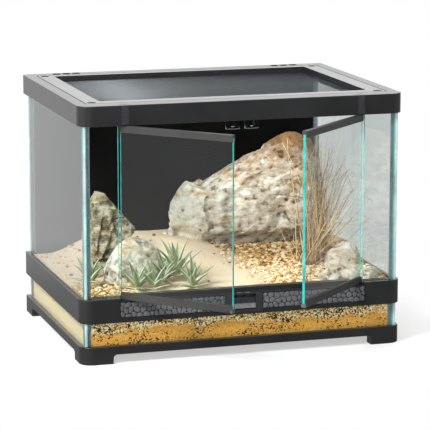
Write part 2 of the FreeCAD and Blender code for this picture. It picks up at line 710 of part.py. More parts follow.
def make_lid():
    body = sub_part("PartDesign::Body", "lid_frame")
    add_box(body, centred(LID_HALF), (LID_FRONT, LID_REAR), (RIM_FLOOR, "overall_height"))
    top = size("overall_height")
    round_edges(body, "edge_round", lambda edge: level(edge) and abs(edge.CenterOfMass.z - top) < TINY)
    opening = (f"{LID_FRONT} + lid_front_rail", f"{LID_REAR} - lid_rear_rail")
    through = (f"{RIM_FLOOR} - cut_past", "overall_height + cut_past")
    cut_box(body, centred(f"{LID_HALF} - lid_side_rail"), opening, through)
    rebate_x = centred(f"{LID_HALF} - lid_side_rail + mesh_overlap + seat_gap")
    rebate_y = (f"{opening[0]} - mesh_overlap - seat_gap", f"{opening[1]} + mesh_overlap + seat_gap")
    cut_box(body, rebate_x, rebate_y, (f"{RIM_FLOOR} - cut_past", f"{RIM_FLOOR} + mesh_thickness + seat_gap"))
    for side in (LEFT_SIDE, RIGHT_SIDE):
        for front in (True, False):
            place = lock_place(side, front)
            head = ("overall_height - lock_head_height", "overall_height + cut_past")
            cut_bore(body, "lock_head_radius + lock_clearance", *head, place)
            cut_bore(body, "lock_stem_radius + lock_clearance", *through, place)


def make_screen():
    """The woven screen as one sheet with a plain grid of gaps, far wider than the gaps in its weave."""
    half = size("overall_width") / 2 - size("rim_side") - size("lid_gap") - size("lid_side_rail")
    front = size("rim_front") + size("lid_gap") + size("lid_front_rail") - size("overall_depth") / 2
    rear = size("overall_depth") / 2 - size("rim_rear") - size("lid_gap") - size("lid_rear_rail")
    low = size("overall_height") - size("rim_height") + size("seat_gap")
    border = size("mesh_overlap")
    bar = size("mesh_bar")

    def rectangle(x_low, x_high, y_low, y_high):
        corners = [(x_low, y_low), (x_high, y_low), (x_high, y_high), (x_low, y_high), (x_low, y_low)]
        return Part.makePolygon([FreeCAD.Vector(x, y, low) for x, y in corners])

    wires = [rectangle(-half - border, half + border, front - border, rear + border)]
    pitch_x = 2 * half / MESH_COLUMNS
    pitch_y = (rear - front) / MESH_ROWS
    for column in range(MESH_COLUMNS):
        for row in range(MESH_ROWS):
            x_low = -half + column * pitch_x + bar / 2
            y_low = front + row * pitch_y + bar / 2
            wires.append(rectangle(x_low, x_low + pitch_x - bar, y_low, y_low + pitch_y - bar))
    face = Part.makeFace(wires, "Part::FaceMakerBullseye")
    item = sub_part("Part::Feature", "screen_mesh")
    item.Shape = face.extrude(FreeCAD.Vector(0, 0, size("mesh_thickness")))


def make_locks():
    tongue_top = f"({LID_LEDGE_BOTTOM} - lock_tongue_gap)"
    tongue_low = f"({tongue_top} - lock_tongue_height)"
    head_low = "overall_height - lock_head_height + lock_clearance"
    for side, name in SIDE_NAMES.items():
        for front in (True, False):
            body = sub_part("PartDesign::Body", f"lid_lock_{'front' if front else 'rear'}_{name}")
            add_bar(body, "lock_stem_radius", tongue_low, "overall_height")
            add_bar(body, "lock_head_radius", head_low, "overall_height")
            reach = ("0", "lock_tongue_length") if front else ("-lock_tongue_length", "0")
            add_box(body, centred("lock_stem_radius"), reach, (tongue_low, tongue_top))
            slot_height = ("overall_height - lock_slot_depth", "overall_height + cut_past")
            cut_box(body, centred("lock_slot_length / 2"), centred("lock_slot_width / 2"), slot_height)
            put(body, *lock_place(side, front), "0")


def make_shutters():
    start = "(overall_depth / 2 - rim_rear + inlet_setback + shutter_gap)"
    low = "(overall_height - shutter_thickness - shutter_rib)"
    half_way = f"{start} + shutter_length / 2"
    for side, name in SIDE_NAMES.items():
        for place in range(INLETS_PER_SIDE):
            body = sub_part("PartDesign::Body", f"inlet_shutter_{name}_{place + 1}")
            middle = inlet_middle(place)
            plate = mirrored(side, f"{middle} - shutter_width / 2", f"{middle} + shutter_width / 2")
            add_box(body, plate, (start, f"{start} + shutter_length"), (low, f"{low} + shutter_thickness"))
            grip = (f"{half_way} - shutter_rib", f"{half_way} + shutter_rib")
            add_box(body, plate, grip, (low, "overall_height"))


# Sand, stones and plants


def make_sand():
    base = sub_part("PartDesign::Body", "sand_base")
    depth = (f"{FRONT_IN} + sand_gap", SAND_BACK)
    add_box(base, centred(SAND_SIDE), depth, (FLOOR_TOP, SAND_STEP))
    chamfer_edges(base, "seal_leg + sand_gap", upright)
    top = sub_part("PartDesign::Body", "sand_top")
    corners = [
        (SAND_FRONT, SAND_STEP),
        (SAND_BACK, SAND_STEP),
        (SAND_BACK, f"{SILL_BOTTOM} + sand_back_rise"),
        (f"{FRONT} + sand_middle_inset", f"{SILL_BOTTOM} + sand_middle_rise"),
        (SAND_FRONT, f"{SILL_BOTTOM} + sand_front_rise"),
    ]
    profile_pad(top, corners, f"-{SAND_SIDE}", f"2 * {SAND_SIDE}")
    chamfer_edges(top, "seal_leg + sand_gap", lambda edge: upright(edge) and edge.CenterOfMass.y > 0)
    return top


def skin(rings, tip=None):
    """A closed solid of flat triangles through rings of points, with a flat end or a tip."""
    count = len(rings[0])
    triangles = [(rings[0][0], rings[0][place], rings[0][place + 1]) for place in range(1, count - 1)]
    for lower, upper in zip(rings, rings[1:]):
        for place in range(count):
            after = (place + 1) % count
            triangles.append((lower[place], lower[after], upper[after]))
            triangles.append((lower[place], upper[after], upper[place]))
    last = rings[-1]
    if tip is None:
        triangles += [(last[0], last[place], last[place + 1]) for place in range(1, count - 1)]
    else:
        triangles += [(last[place], last[(place + 1) % count], tip) for place in range(count)]
    faces = [Part.Face(Part.makePolygon([*corners, corners[0]])) for corners in triangles]
    solid = Part.makeSolid(Part.makeShell(faces))
    if solid.Volume < 0:
        solid.reverse()
    return solid


def bedded(label, item, *tools):
    """A piece that ends where it meets the sand or another stone."""
    for place, tool in enumerate(tools, start=1):
        last = place == len(tools)
        cut = sub_part("Part::Cut", label) if last else doc.addObject("Part::Cut", f"{label}_step")
        cut.Base = item
        cut.Tool = tool
        item = cut
    return item


def boulder_shape(outline, slices):
    """A faceted stone: its outline in X and Z, grown and shrunk through its depth, on a foot that stays level."""
    middle_x = sum(x for x, z in outline) / len(outline)
    middle_z = sum(z for x, z in outline) / len(outline)
    foot = min(z for x, z in outline)
    rings = []
    for depth, share in slices:
        ring = []
        for x, z in outline:
            across = middle_x + share * (x - middle_x)
            height = z if z == foot else middle_z + share * (z - middle_z)
            ring.append(FreeCAD.Vector(across, depth, height))
        rings.append(ring)
    return skin(rings)


# Each stone's outline starts at its lower left and is measured from its nearest glass and the sand's lower bed.
LARGE_ROCK = [
    (-297, 2), (-322, 70), (-325, 124), (-299, 157), (-245, 161), (-208, 181), (-173, 194), (-125, 227),
    (-92, 236), (-74, 255), (-51, 255), (-27, 231), (-8, 187), (0, 143), (-5, 73), (-22, 2),
]
SLAB_ROCK = [(3, 2), (5, 105), (11, 161), (26, 182), (45, 174), (69, 139), (103, 109), (85, 82), (66, 2)]
BOULDER = [(0, 2), (4, 58), (23, 88), (47, 103), (79, 111), (103, 96), (122, 73), (115, 36), (102, 2)]
RIGHT_ROCK = [(-85, 2), (-82, 53), (-63, 74), (-38, 81), (-14, 71), (0, 41), (0, 2)]

# Depth of each slice from the stone's own plane, and its share of the full outline
LARGE_ROCK_SLICES = [(-150, 0.7), (-86, 1.0), (0, 0.64)]
SLAB_SLICES = [(-30, 0.85), (0, 1.0), (28, 0.8)]
BOULDER_SLICES = [(-34, 0.75), (-8, 1.0), (28, 0.8)]
RIGHT_ROCK_SLICES = [(-25, 0.75), (0, 1.0), (24, 0.8)]


def make_rocks(sand):
    large = free_shape("large_rock_block", boulder_shape(LARGE_ROCK, LARGE_ROCK_SLICES))
    put(large, f"{SIDE_IN} - large_rock_side_gap", f"{BACKGROUND_FRONT} - large_rock_back_gap", SILL_BOTTOM)
    slab = free_shape("slab_rock_block", boulder_shape(SLAB_ROCK, SLAB_SLICES))
    put(slab, f"slab_side_gap - {SIDE_IN}", f"{FRONT} + slab_inset", SILL_BOTTOM)
    boulder = free_shape("pale_boulder_block", boulder_shape(BOULDER, BOULDER_SLICES))
    put(boulder, f"boulder_side_gap - {SIDE_IN}", f"{FRONT} + boulder_inset", SILL_BOTTOM)
    right = free_shape("right_rock_block", boulder_shape(RIGHT_ROCK, RIGHT_ROCK_SLICES))
    put(right, f"{SIDE_IN} - right_rock_side_gap", f"{FRONT} + right_rock_inset", SILL_BOTTOM)
    return {
        "large": bedded("large_rock", large, sand),
        "slab": bedded("slab_rock", slab, sand),
        "boulder": bedded("pale_boulder", boulder, sand),
        "right": bedded("right_rock", right, sand),
    }


# Pebbles: place across and back from the first one, radius and height above the sand's lower bed
PEBBLES = [
    (-24, 0, 19, 34), (-62, 6, 16, 34), (-92, -4, 12, 28), (-40, 32, 13, 36),
    (-78, 30, 15, 37), (-104, 22, 9, 31), (-10, 34, 9, 33), (-118, 4, 8, 26),
]
PEBBLE_SIDES = 7
PEBBLE_RINGS = ((0.72, -0.9), (1.0, -0.2), (0.86, 0.4), (0.42, 0.75))


def make_pebbles(sand):
    stones = []
    for across, back, radius, height in PEBBLES:
        rings = []
        for share, rise in PEBBLE_RINGS:
            ring = []
            for place in range(PEBBLE_SIDES):
                angle = 2 * math.pi * place / PEBBLE_SIDES + 0.3 * across
                x = across + 1.15 * share * radius * math.cos(angle)
                y = back + 0.85 * share * radius * math.sin(angle)
                ring.append(FreeCAD.Vector(x, y, height + 0.7 * rise * radius - 0.4 * radius))
            rings.append(ring)
        stones.append(skin(rings))
    group = free_shape("pebbles_block", Part.makeCompound(stones))
    put(group, f"{SIDE_IN} - pebble_side_gap", f"{FRONT_IN} + pebble_inset", SILL_BOTTOM)
    return bedded("pebbles", group, sand)


def leaf(root, bearing, rise, droop, length, width, thickness):
    """A pointed leaf: it leaves its root at a rise angle and bends by a droop angle on its way."""
    across = FreeCAD.Vector(-math.sin(bearing), math.cos(bearing), 0)
    outward = FreeCAD.Vector(math.cos(bearing), math.sin(bearing), 0)
    up = FreeCAD.Vector(0, 0, 1)
    point = root
    rings = []
    for step, breadth in ((0.0, 0.7), (0.3, 1.0), (0.35, 0.7)):
        lift = math.radians(rise - droop * len(rings))
        along = outward * math.cos(lift) + up * math.sin(lift)
        normal = up * math.cos(lift) - outward * math.sin(lift)
        point = point + along * (step * length)
        half = across * (breadth * width / 2)
        high = normal * (breadth * thickness / 2)
        rings.append([point + half, point + high, point - half, point - high])
    lift = math.radians(rise - 3 * droop)
    tip = point + (outward * math.cos(lift) + up * math.sin(lift)) * (0.35 * length)
    return skin(rings, tip)


def rosette(place, length, rise, turn, outer, inner):
    """A succulent: a short core with an outer ring of leaves and a steeper inner one."""
    root = FreeCAD.Vector(*place)
    core_radius = size("succulent_core")
    core = Part.makeCylinder(core_radius, root.z, FreeCAD.Vector(root.x, root.y, 0))
    leaves = []
    for count, angle, offset in ((outer, rise, 0.0), (inner, rise + 22, 0.37)):
        for step in range(count):
            bearing = turn + 2 * math.pi * (step + offset) / count
            reach = length * (0.86 + 0.14 * math.cos(3 * bearing + turn))
            leaves.append(leaf(root, bearing, angle, 6, reach, size("leaf_width"), size("leaf_thickness")))
    return core.multiFuse(leaves)


# Rosettes: place across, back and up from the first one, leaf length and rise, turn, outer and inner leaves
ROSETTES = [
    ((0, 0, 21), 62, 58, 0.3, 6, 4),
    ((30, -5, 20), 56, 58, 0.9, 6, 3),
    ((58, 26, 27), 64, 58, 0.1, 5, 4),
    ((84, 36, 32), 82, 58, 0.6, 6, 4),
    ((103, -6, 20), 60, 58, 1.2, 6, 4),
]
SMALL_PLANT = ((0, 0, 30), 44, 62, 0.5, 4, 4)


def make_succulents(sand, rocks):
    plants = [rosette(*row) for row in ROSETTES]
    group = free_shape("succulents_block", plants[0].multiFuse(plants[1:]))
    put(group, f"succulent_side_gap - {SIDE_IN}", f"{FRONT_IN} + succulent_inset", SILL_BOTTOM)
    bedded("succulents", group, sand, rocks["boulder"])
    small = free_shape("small_succulent_block", rosette(*SMALL_PLANT))
    put(small, f"small_plant_side_gap - {SIDE_IN}", f"{FRONT} + small_plant_inset", SILL_BOTTOM)
    bedded("small_succulent", small, sand, rocks["slab"], rocks["boulder"])


GRASS_BLADES = 22
GRASS_CORE = 6.0
GRASS_LEVEL = 30.0
GRASS_SHORT = 120.0
GRASS_TALL = 230.0


def make_grass(sand, rocks):
    """A dry tuft that fans up and to the right from one root."""
    root = FreeCAD.Vector(0, 0, GRASS_LEVEL)
    width = size("blade_width")
    blades = []
    for step in range(GRASS_BLADES):
        share = step / (GRASS_BLADES - 1)
        bearing = 0.8 * math.sin(2.4 * step)
        rise = 88 - 42 * share
        extra = (0.5 + 0.5 * math.cos(1.7 * step)) * (1 - 0.5 * share)
        length = GRASS_SHORT + (GRASS_TALL - GRASS_SHORT) * extra
        blades.append(leaf(root, bearing, rise, 3 * math.sin(1.3 * step), length, width, width))
    core = Part.makeCylinder(GRASS_CORE, 2 * GRASS_CORE, root - FreeCAD.Vector(0, 0, GRASS_CORE))
    tuft = free_shape("dry_grass_block", core.multiFuse(blades))
    put(tuft, f"{SIDE_IN} - grass_side_gap", f"{FRONT} + grass_inset", SILL_BOTTOM)
    bedded("dry_grass", tuft, sand, rocks["right"], rocks["large"])


make_base_frame()
make_glass()
make_seals()
make_background()
make_belt()
make_vents()
make_latch()
make_top_frame()
make_door_stops()
make_door(LEFT_SIDE, "left_door_opening")
make_door(RIGHT_SIDE, "right_door_opening")
make_hinges()
make_lid()
make_screen()
make_locks()
make_shutters()
sand_bed = make_sand()
doc.recompute()
stones = make_rocks(sand_bed)
make_pebbles(sand_bed)
make_succulents(sand_bed, stones)
make_grass(sand_bed, stones)
doc.recompute()

# Every object has to be sound before anything is written.
for item in doc.Objects:
    if "Invalid" in item.State or "Error" in item.State:
        raise RuntimeError(f"{item.Label} failed: {item.State}")
for item in sub_parts:
    if item.Shape.isNull() or not item.Shape.isValid() or item.Shape.Volume <= 0:
        raise RuntimeError(f"{item.Label} has no sound solid")

# The files take their origin on the floor, under the middle of the box round the whole part, open doors included.
whole = FreeCAD.BoundBox()
for item in sub_parts:
    whole.add(item.Shape.optimalBoundingBox(False))
to_origin = FreeCAD.Vector(-whole.Center.x, -whole.Center.y, -whole.ZMin)
print(f"moved to the origin by {to_origin.x:.4f}, {to_origin.y:.4f}, {to_origin.z:.4f} mm")

os.makedirs("parts", exist_ok=True)
for item in sub_parts:
    item.Shape.translated(to_origin).exportStep(f"parts/{item.Label}.step")
    print(f"{item.Label}: {len(item.Shape.Solids)} solid(s), {item.Shape.Volume / 1000:.1f} cm3")
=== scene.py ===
"""Looks of the glass terrarium: panes, landscape, materials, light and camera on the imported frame."""

import math
import random

import bmesh
import bpy
import numpy as np
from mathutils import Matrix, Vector, noise


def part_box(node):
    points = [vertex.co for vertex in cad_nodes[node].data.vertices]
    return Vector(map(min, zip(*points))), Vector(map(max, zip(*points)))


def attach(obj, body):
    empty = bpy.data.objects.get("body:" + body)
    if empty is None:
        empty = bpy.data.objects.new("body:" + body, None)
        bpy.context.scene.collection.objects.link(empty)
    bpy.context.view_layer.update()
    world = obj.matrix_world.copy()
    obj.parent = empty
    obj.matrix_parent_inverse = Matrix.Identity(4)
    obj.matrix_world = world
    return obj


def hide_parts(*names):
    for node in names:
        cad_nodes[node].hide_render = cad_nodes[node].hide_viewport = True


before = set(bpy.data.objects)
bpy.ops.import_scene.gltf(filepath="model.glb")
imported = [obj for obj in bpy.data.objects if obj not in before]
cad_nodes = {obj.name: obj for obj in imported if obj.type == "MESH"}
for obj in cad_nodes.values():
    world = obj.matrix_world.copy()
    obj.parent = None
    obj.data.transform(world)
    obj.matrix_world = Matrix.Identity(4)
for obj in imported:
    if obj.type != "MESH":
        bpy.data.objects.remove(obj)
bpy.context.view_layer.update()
scene = bpy.context.scene
base_low, base_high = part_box("base_frame")
CABINET_Y = (base_low.y + base_high.y) / 2
MM = 0.001


def at(x, y, z):
    """A point given in millimetres from the floor under the cabinet's middle."""
    return Vector((x * MM, y * MM + CABINET_Y, z * MM))


# Materials

# Soft noise seldom leaves this span; its roughness is how strong its fine detail is
NOISE_LOW = 0.3
NOISE_HIGH = 0.7
NOISE_ROUGHNESS = 0.55


def tone(colour):
    """A linear colour with its alpha, from a six-digit screen code or from linear parts."""
    if isinstance(colour, str):
        parts = [int(colour[place:place + 2], 16) / 255 for place in (0, 2, 4)]
        colour = [part / 12.92 if part <= 0.04045 else ((part + 0.055) / 1.055) ** 2.4 for part in parts]
    return (*colour, 1)


class Nodes:
    """A node tree, with short ways to add to it; place is the point being coloured, in the space given."""

    def __init__(self, tree, space):
        self.tree = tree
        self.coordinates = self.node("TexCoord")
        self.place = self.coordinates.outputs[space]

    def feed(self, socket, value):
        """Links a socket to another one, or sets it to a plain number or colour."""
        if isinstance(value, bpy.types.NodeSocket):
            self.tree.links.new(value, socket)
        else:
            socket.default_value = tone(value) if socket.type == "RGBA" else value

    def fill(self, node, words):
        """Feeds a node's sockets by their names, with underscores for the spaces in them."""
        for word, value in words.items():
            self.feed(node.inputs[word.replace("_", " ")], value)

    def node(self, kind, *values, operation=None, **words):
        """Adds a node; values fill its first sockets, words the ones with these names."""
        made = self.tree.nodes.new(f"ShaderNode{kind}")
        if operation:
            made.operation = operation
        for place, value in enumerate(values):
            self.feed(made.inputs[place], value)
        self.fill(made, words)
        return made

    def axis(self, word, vector=None):
        return self.node("SeparateXYZ", vector or self.place).outputs[word]

    def ramp(self, share, *stops):
        """Colours along a share from 0 to 1; each stop is a place and a colour."""
        made = self.node("ValToRGB", share)
        points = made.color_ramp.elements
        for place, (where, colour) in ((0, stops[0]), (1, stops[-1])):
            points[place].position = where
            points[place].color = tone(colour)
        for where, colour in stops[1:-1]:
            points.new(where).color = tone(colour)
        return made.outputs["Color"]

    def span(self, share, low, high, out_low=0.0, out_high=1.0):
        """Lays the span from low to high onto another one, and stops at its ends."""
        return self.node("MapRange", share, low, high, out_low, out_high).outputs["Result"]

    def combine(self, first, second, operation="ADD"):
        return self.node("Math", first, second, operation=operation).outputs[0]

    def blend(self, share, first, second, kind="MIX"):
        """Mixes two colours; the numbers are the places of the node's colour sockets."""
        made = self.node("Mix", share)
        made.data_type = "RGBA"
        made.blend_type = kind
        self.feed(made.inputs[6], first)
        self.feed(made.inputs[7], second)
        return made.outputs[2]


class Paint(Nodes):
    """A material on the standard surface shader."""

    def __init__(self, name):
        self.material = bpy.data.materials.new(name)
        self.material.use_nodes = True
        super().__init__(self.material.node_tree, "Object")
        self.shader = self.tree.nodes["Principled BSDF"]
        self.output = self.tree.nodes["Material Output"]

    def surface(self, **words):
        self.fill(self.shader, words)

    def noise(self, width, detail, roughness=NOISE_ROUGHNESS, place=None):
        """Soft noise whose blots are about this many metres wide."""
        made = self.node("TexNoise", place or self.place, Scale=1 / width, Detail=detail, Roughness=roughness)
        return made.outputs["Fac"]

    def mottle(self, width, detail, dark, light, low=NOISE_LOW):
        """Two colours in blots of this width."""
        return self.ramp(self.noise(width, detail), (low, dark), (NOISE_HIGH, light))

    def vary(self, width, detail, low, high, roughness=NOISE_ROUGHNESS, place=None):
        """A number that drifts between two values, in blots of this width."""
        return self.span(self.noise(width, detail, roughness, place), NOISE_LOW, NOISE_HIGH, low, high)

    def cells(self, width, output="Distance"):
        return self.node("TexVoronoi", self.place, Scale=1 / width).outputs[output]

    def grain(self, width, word="Red"):
        """A random number for each of the cells."""
        return self.node("SeparateColor", self.cells(width, "Color")).outputs[word]

    def layers(self, stretch, turn=(0.0, 0.0, 0.0)):
        """The place stretched and turned, so that noise on it lies in layers."""
        return self.node("Mapping", self.place, Rotation=turn, Scale=stretch).outputs["Vector"]

    def value(self, name):
        made = self.node("Attribute")
        made.attribute_name = name
        return made.outputs["Fac"]

    def bump(self, height, strength, depth):
        made = self.node("Bump", Height=height, Strength=strength, Distance=depth)
        normal = self.shader.inputs["Normal"]
        if normal.is_linked:
            self.feed(made.inputs["Normal"], normal.links[0].from_socket)
        self.feed(normal, made.outputs["Normal"])

    def choose(self, share, first, second):
        """Mixes two shaders."""
        return self.node("MixShader", share, first, second).outputs["Shader"]

    def glow(self, colour=(1, 1, 1), strength=1.0):
        return self.node("Emission", colour, strength).outputs["Emission"]

    def let_light_through(self, tint):
        """Lets lamps and bounced light pass straight through, as a thin pane does."""
        path = self.node("LightPath").outputs
        passing = self.combine(path["Is Shadow Ray"], path["Is Diffuse Ray"], "MAXIMUM")
        clear = self.node("BsdfTransparent", tint).outputs["BSDF"]
        self.feed(self.output.inputs["Surface"], self.choose(passing, self.shader.outputs["BSDF"], clear))

    def finish(self, colour, rough, grain, through=None, **words):
        """Sets the surface and gives the material.

        rough is a socket, or a noise's width and detail with a low and a high roughness; grain is those of
        a bump with its strength and depth; through is the tint of light that passes straight on.
        """
        rough = self.vary(*rough) if isinstance(rough, tuple) else rough
        self.surface(Base_Color=colour, Roughness=rough, **words)
        width, detail, strength, depth, *roughness = grain
        self.bump(self.noise(width, detail, *roughness), strength, depth)
        if through:
            self.let_light_through(through)
        return self.material


def plain(name, colours, rough, grain, **words):
    """A material of two colours in blots."""
    paint = Paint(name)
    return paint.finish(paint.mottle(*colours), rough, grain, **words)


def moulded(name, dark, light, low, high, grain=0.7 * MM):
    """Moulded plastic: slight blots in colour and gloss over a fine spark-eroded grain."""
    return plain(name, (90 * MM, 3, dark, light, 0.35), (60 * MM, 3, low, high), (grain, 2, 0.03, 0.1 * MM))


def lid_finish():
    """The lid's moulded rim: dull, with painted shade along its outer edge for the narrow gap where it meets
    the frame.
    """
    paint = Paint("lid_black")
    low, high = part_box("lid_frame")
    joint = 1.8 * MM
    beside = paint.combine(paint.combine(paint.axis("X"), 0.0, "ABSOLUTE"), high.x - joint, "SUBTRACT")
    middle = (low.y + high.y) / 2
    along = paint.combine(paint.combine(paint.axis("Y"), middle, "SUBTRACT"), 0.0, "ABSOLUTE")
    before = paint.combine(along, (high.y - low.y) / 2 - joint, "SUBTRACT")
    # Painted shade: a dark band along the outer edge stands in for the shade in the gap between the lid and
    # the frame.
    gap_shade = paint.span(paint.combine(beside, before, "MAXIMUM"), -0.3 * MM, 0.3 * MM)
    black = paint.mottle(90 * MM, 3, "1f1f20", "252526", 0.35)
    gloss = paint.vary(60 * MM, 3, 0.24, 0.26)
    rough = paint.combine(gloss, paint.combine(gap_shade, 0.6, "MULTIPLY"))
    return paint.finish(paint.blend(gap_shade, black, "0a0a0a"), rough, (0.7 * MM, 2, 0.03, 0.1 * MM))


def clear_glass():
    paint = Paint("tank_glass")
    return paint.finish(
        paint.mottle(200 * MM, 2, "f1f6f5", "f5f9f8"),
        paint.span(paint.noise(40 * MM, 4), 0.4, 0.8, 0.0, 0.004), (300 * MM, 1, 0.01, 0.1 * MM),
        through="f6faf9", IOR=1.5, Transmission_Weight=1.0,
    )


def cut_edge(name, dark, light, clear):
    """Glass edge: the green that a long path through the pane gives, or the grey of a glued one."""
    return plain(name, (25 * MM, 3, dark, light), (6 * MM, 4, 0.08, 0.22), (2 * MM, 2, 0.05, 0.1 * MM),
                 IOR=1.5, Transmission_Weight=clear)


def bright_metal(name, dark, light, low, high):
    return plain(name, (4 * MM, 4, dark, light), (2 * MM, 5, low, high), (0.6 * MM, 3, 0.08, 0.1 * MM),
                 Metallic=1.0)


# Heights on the latch's pull, how softly they blend, and the wave's scale, which puts ribs 2.4 mm apart
LIP_FOOT = 84.8 * MM
LIP_TOP = 93.6 * MM
BRIGHT_TIPS = 108.5 * MM
LATCH_BLUR = 0.2 * MM
RIB_SCALE = 131.0


def latch_finish():
    """Ribbed dark pull with a painted highlight along its lip; the tops of its two tongues are bare and
    bright.
    """
    paint = Paint("latch_black")
    height = paint.axis("Z")
    tips = paint.span(height, BRIGHT_TIPS, BRIGHT_TIPS + 0.3 * MM)
    above = paint.span(height, LIP_FOOT, LIP_FOOT + LATCH_BLUR)
    below = paint.span(height, LIP_TOP, LIP_TOP - LATCH_BLUR)
    lip = paint.combine(above, below, "MULTIPLY")
    ribs = paint.node("TexWave", paint.place, Scale=RIB_SCALE).outputs["Fac"]
    dark = paint.ramp(ribs, (0.3, "161618"), (0.8, "39393c"))
    # The lip's lighter warm grey is a painted highlight along its edge.
    tone_and_painted_light = paint.mottle(6 * MM, 4, "5a5856", "74706c")
    return paint.finish(
        paint.blend(tips, paint.blend(lip, dark, tone_and_painted_light), "dcdcd8"),
        (6 * MM, 5, 0.3, 0.42), (0.8 * MM, 2, 0.05, 0.1 * MM),
    )


def dark_backdrop():
    """The tank's black rear panel: a faint leathery sheen with dust towards the bottom."""
    paint = Paint("background_black")
    dust = paint.span(paint.axis("Z"), 0.30, 0.12, 0.0, 0.12)
    dark = paint.mottle(60 * MM, 5, "070707", "0d0d0d")
    return paint.finish(
        paint.blend(paint.combine(dust, paint.noise(15 * MM, 5), "MULTIPLY"), dark, "4a4238"),
        (20 * MM, 4, 0.45, 0.6), (6 * MM, 2, 0.04, 0.1 * MM),
        Specular_IOR_Level=0.05,
    )


def bed_sand():
    """Sand pressed against the lower glass: ochre, dark grains in drifts, paler at the top, and painted light
    on its sides.
    """
    paint = Paint("sand_bed")
    drift = paint.noise(60 * MM, 5, 0.62, paint.layers((1.0, 1.0, 2.6)))
    ochre = paint.ramp(paint.noise(5 * MM, 7, 0.7), (0.30, "c07d26"), (0.52, "d99a40"), (0.75, "eebb68"))
    wander = paint.span(drift, NOISE_LOW, NOISE_HIGH, -9 * MM, 9 * MM)
    upper = paint.span(paint.combine(paint.axis("Z"), wander), 53 * MM, 58 * MM)
    cream_grains = paint.span(paint.grain(2.4 * MM, "Green"), 0.4, 0.5)
    cream = paint.blend(cream_grains, ochre, "f6e3b8")
    dark_share = paint.span(drift, 0.45, 0.62, 0.01, 0.42)
    dark_share = paint.combine(dark_share, paint.combine(upper, 0.12, "MULTIPLY"))
    dark_grains = paint.combine(dark_share, paint.grain(2.2 * MM), "GREATER_THAN")
    front = paint.blend(dark_grains, paint.blend(upper, ochre, cream), "3a240f")
    # Painted light: faces turned towards the sides go pale cream, for the strong light that falls on the left
    # side.
    painted_light_facing = paint.combine(paint.axis("X", paint.coordinates.outputs["Normal"]), 0.0, "ABSOLUTE")
    side = paint.mottle(3 * MM, 6, "fdd898", "ffe9bc")
    return paint.finish(
        paint.blend(paint.span(painted_light_facing, 0.6, 0.8), front, side),
        (2 * MM, 4, 0.8, 0.97), (1.4 * MM, 4, 0.5, 0.8 * MM),
    )


def top_sand():
    """Sand on top: a smooth beige dune that turns into golden grit, darkened partly as painted shade between
    the loose stones.
    """
    paint = Paint("sand_top")
    gravel = paint.value("gravel")
    smooth = paint.mottle(4 * MM, 6, "e8cca8", "f1dcc2")
    # The grit's darker tones are partly its own colour and partly painted shade where it shows between the
    # loose stones.
    grit = paint.ramp(paint.noise(6 * MM, 7, 0.7), (0.28, "74511f"), (0.5, "bd9350"), (0.75, "e6c88f"))
    dark_grains = paint.combine(paint.grain(2.6 * MM), 0.09, "LESS_THAN")
    grit = paint.blend(dark_grains, grit, "8a6230")
    paint.finish(paint.blend(gravel, smooth, grit), (2 * MM, 4, 0.82, 0.97), (1.1 * MM, 4, 0.35, 0.5 * MM))
    paint.bump(paint.combine(paint.cells(5 * MM), gravel, "MULTIPLY"), 0.6, 1.6 * MM)
    return paint.material


def stone(name, shadow, middle, pale, stain, lobe=None, golden=None):
    """Weathered limestone with ochre stains along its beds, painted light on its high spots and painted shade
    in its hollows.

    lobe is the span in X over which it turns pale, partly as chalk and partly as painted light on its lit
    left side; golden the span in height over which it turns ochre.
    """
    paint = Paint(name)
    cavity = paint.value("cavity")
    beds = paint.layers((0.5, 0.5, 1.5), (0.1, -0.35, 0.0))
    broad = paint.vary(34 * MM, 6, -0.3, 0.3, 0.6)
    fine = paint.vary(10 * MM, 9, -0.4, 0.4, 0.76, beds)
    # The cavity value adds painted light on high spots and painted shade in hollows to the mottle.
    tone_and_painted_light = paint.combine(paint.combine(broad, fine), cavity)
    rock = paint.ramp(tone_and_painted_light, (0.10, shadow), (0.45, middle), (0.82, pale))
    if lobe:
        # Partly chalk and partly painted light: the left part turns nearly white, for the light that falls on
        # that side.
        rock = paint.blend(paint.span(paint.axis("X"), *lobe, 0.0, 0.6), rock, "fbf7ec")
    streak = paint.span(paint.noise(34 * MM, 9, 0.66, beds), 0.54, 0.66, 0.0, 0.8)
    rock = paint.blend(streak, rock, stain)
    if golden:
        height = paint.combine(paint.axis("Z"), paint.vary(40 * MM, 7, -50 * MM, 50 * MM, 0.68))
        rock = paint.blend(paint.span(height, *golden, 0.0, 0.92), rock, "8c6528")
    # Painted shade: where the cavity value is low, in cracks, pits and sunk places, the stone turns dark
    # brown.
    hollow = paint.span(cavity, 0.30, 0.08, 0.0, 0.8)
    paint.bump(paint.noise(9 * MM, 9, 0.78), 0.9, 3.2 * MM)
    return paint.finish(
        paint.blend(hollow, rock, "5c4526"),
        (4 * MM, 5, 0.72, 0.95), (3.0 * MM, 4, 0.5, 1.0 * MM, 0.7),
    )


def tinted(name, mottle, rough, grain, *stops):
    """A material whose colour follows each single piece's tone, with some mottle."""
    paint = Paint(name)
    shade = paint.combine(paint.value("tone"), paint.vary(*mottle))
    return paint.finish(paint.ramp(shade, *stops), rough, grain)


def leaf_skin():
    """Waxy agave leaves: pale margins, darker towards the tip, a dry brown point."""
    paint = Paint("leaf")
    along = paint.combine(paint.value("along"), paint.vary(12 * MM, 4, -0.08, 0.08))
    green = paint.ramp(along, (0.0, "ddd6a8"), (0.2, "9aa46c"), (0.65, "63774a"),
                       (0.93, "5d6f40"), (1.0, "8a6a3e"))
    fresh = paint.blend(paint.combine(paint.value("tone"), 0.45, "MULTIPLY"), green, "a3ae7c")
    margin = paint.span(paint.value("edge"), 0.66, 0.92, 0.0, 0.95)
    return paint.finish(
        paint.blend(margin, fresh, "e6ead2"),
        (5 * MM, 4, 0.38, 0.6), (2.5 * MM, 4, 0.18, 0.3 * MM),
        Subsurface_Weight=0.08,
    )


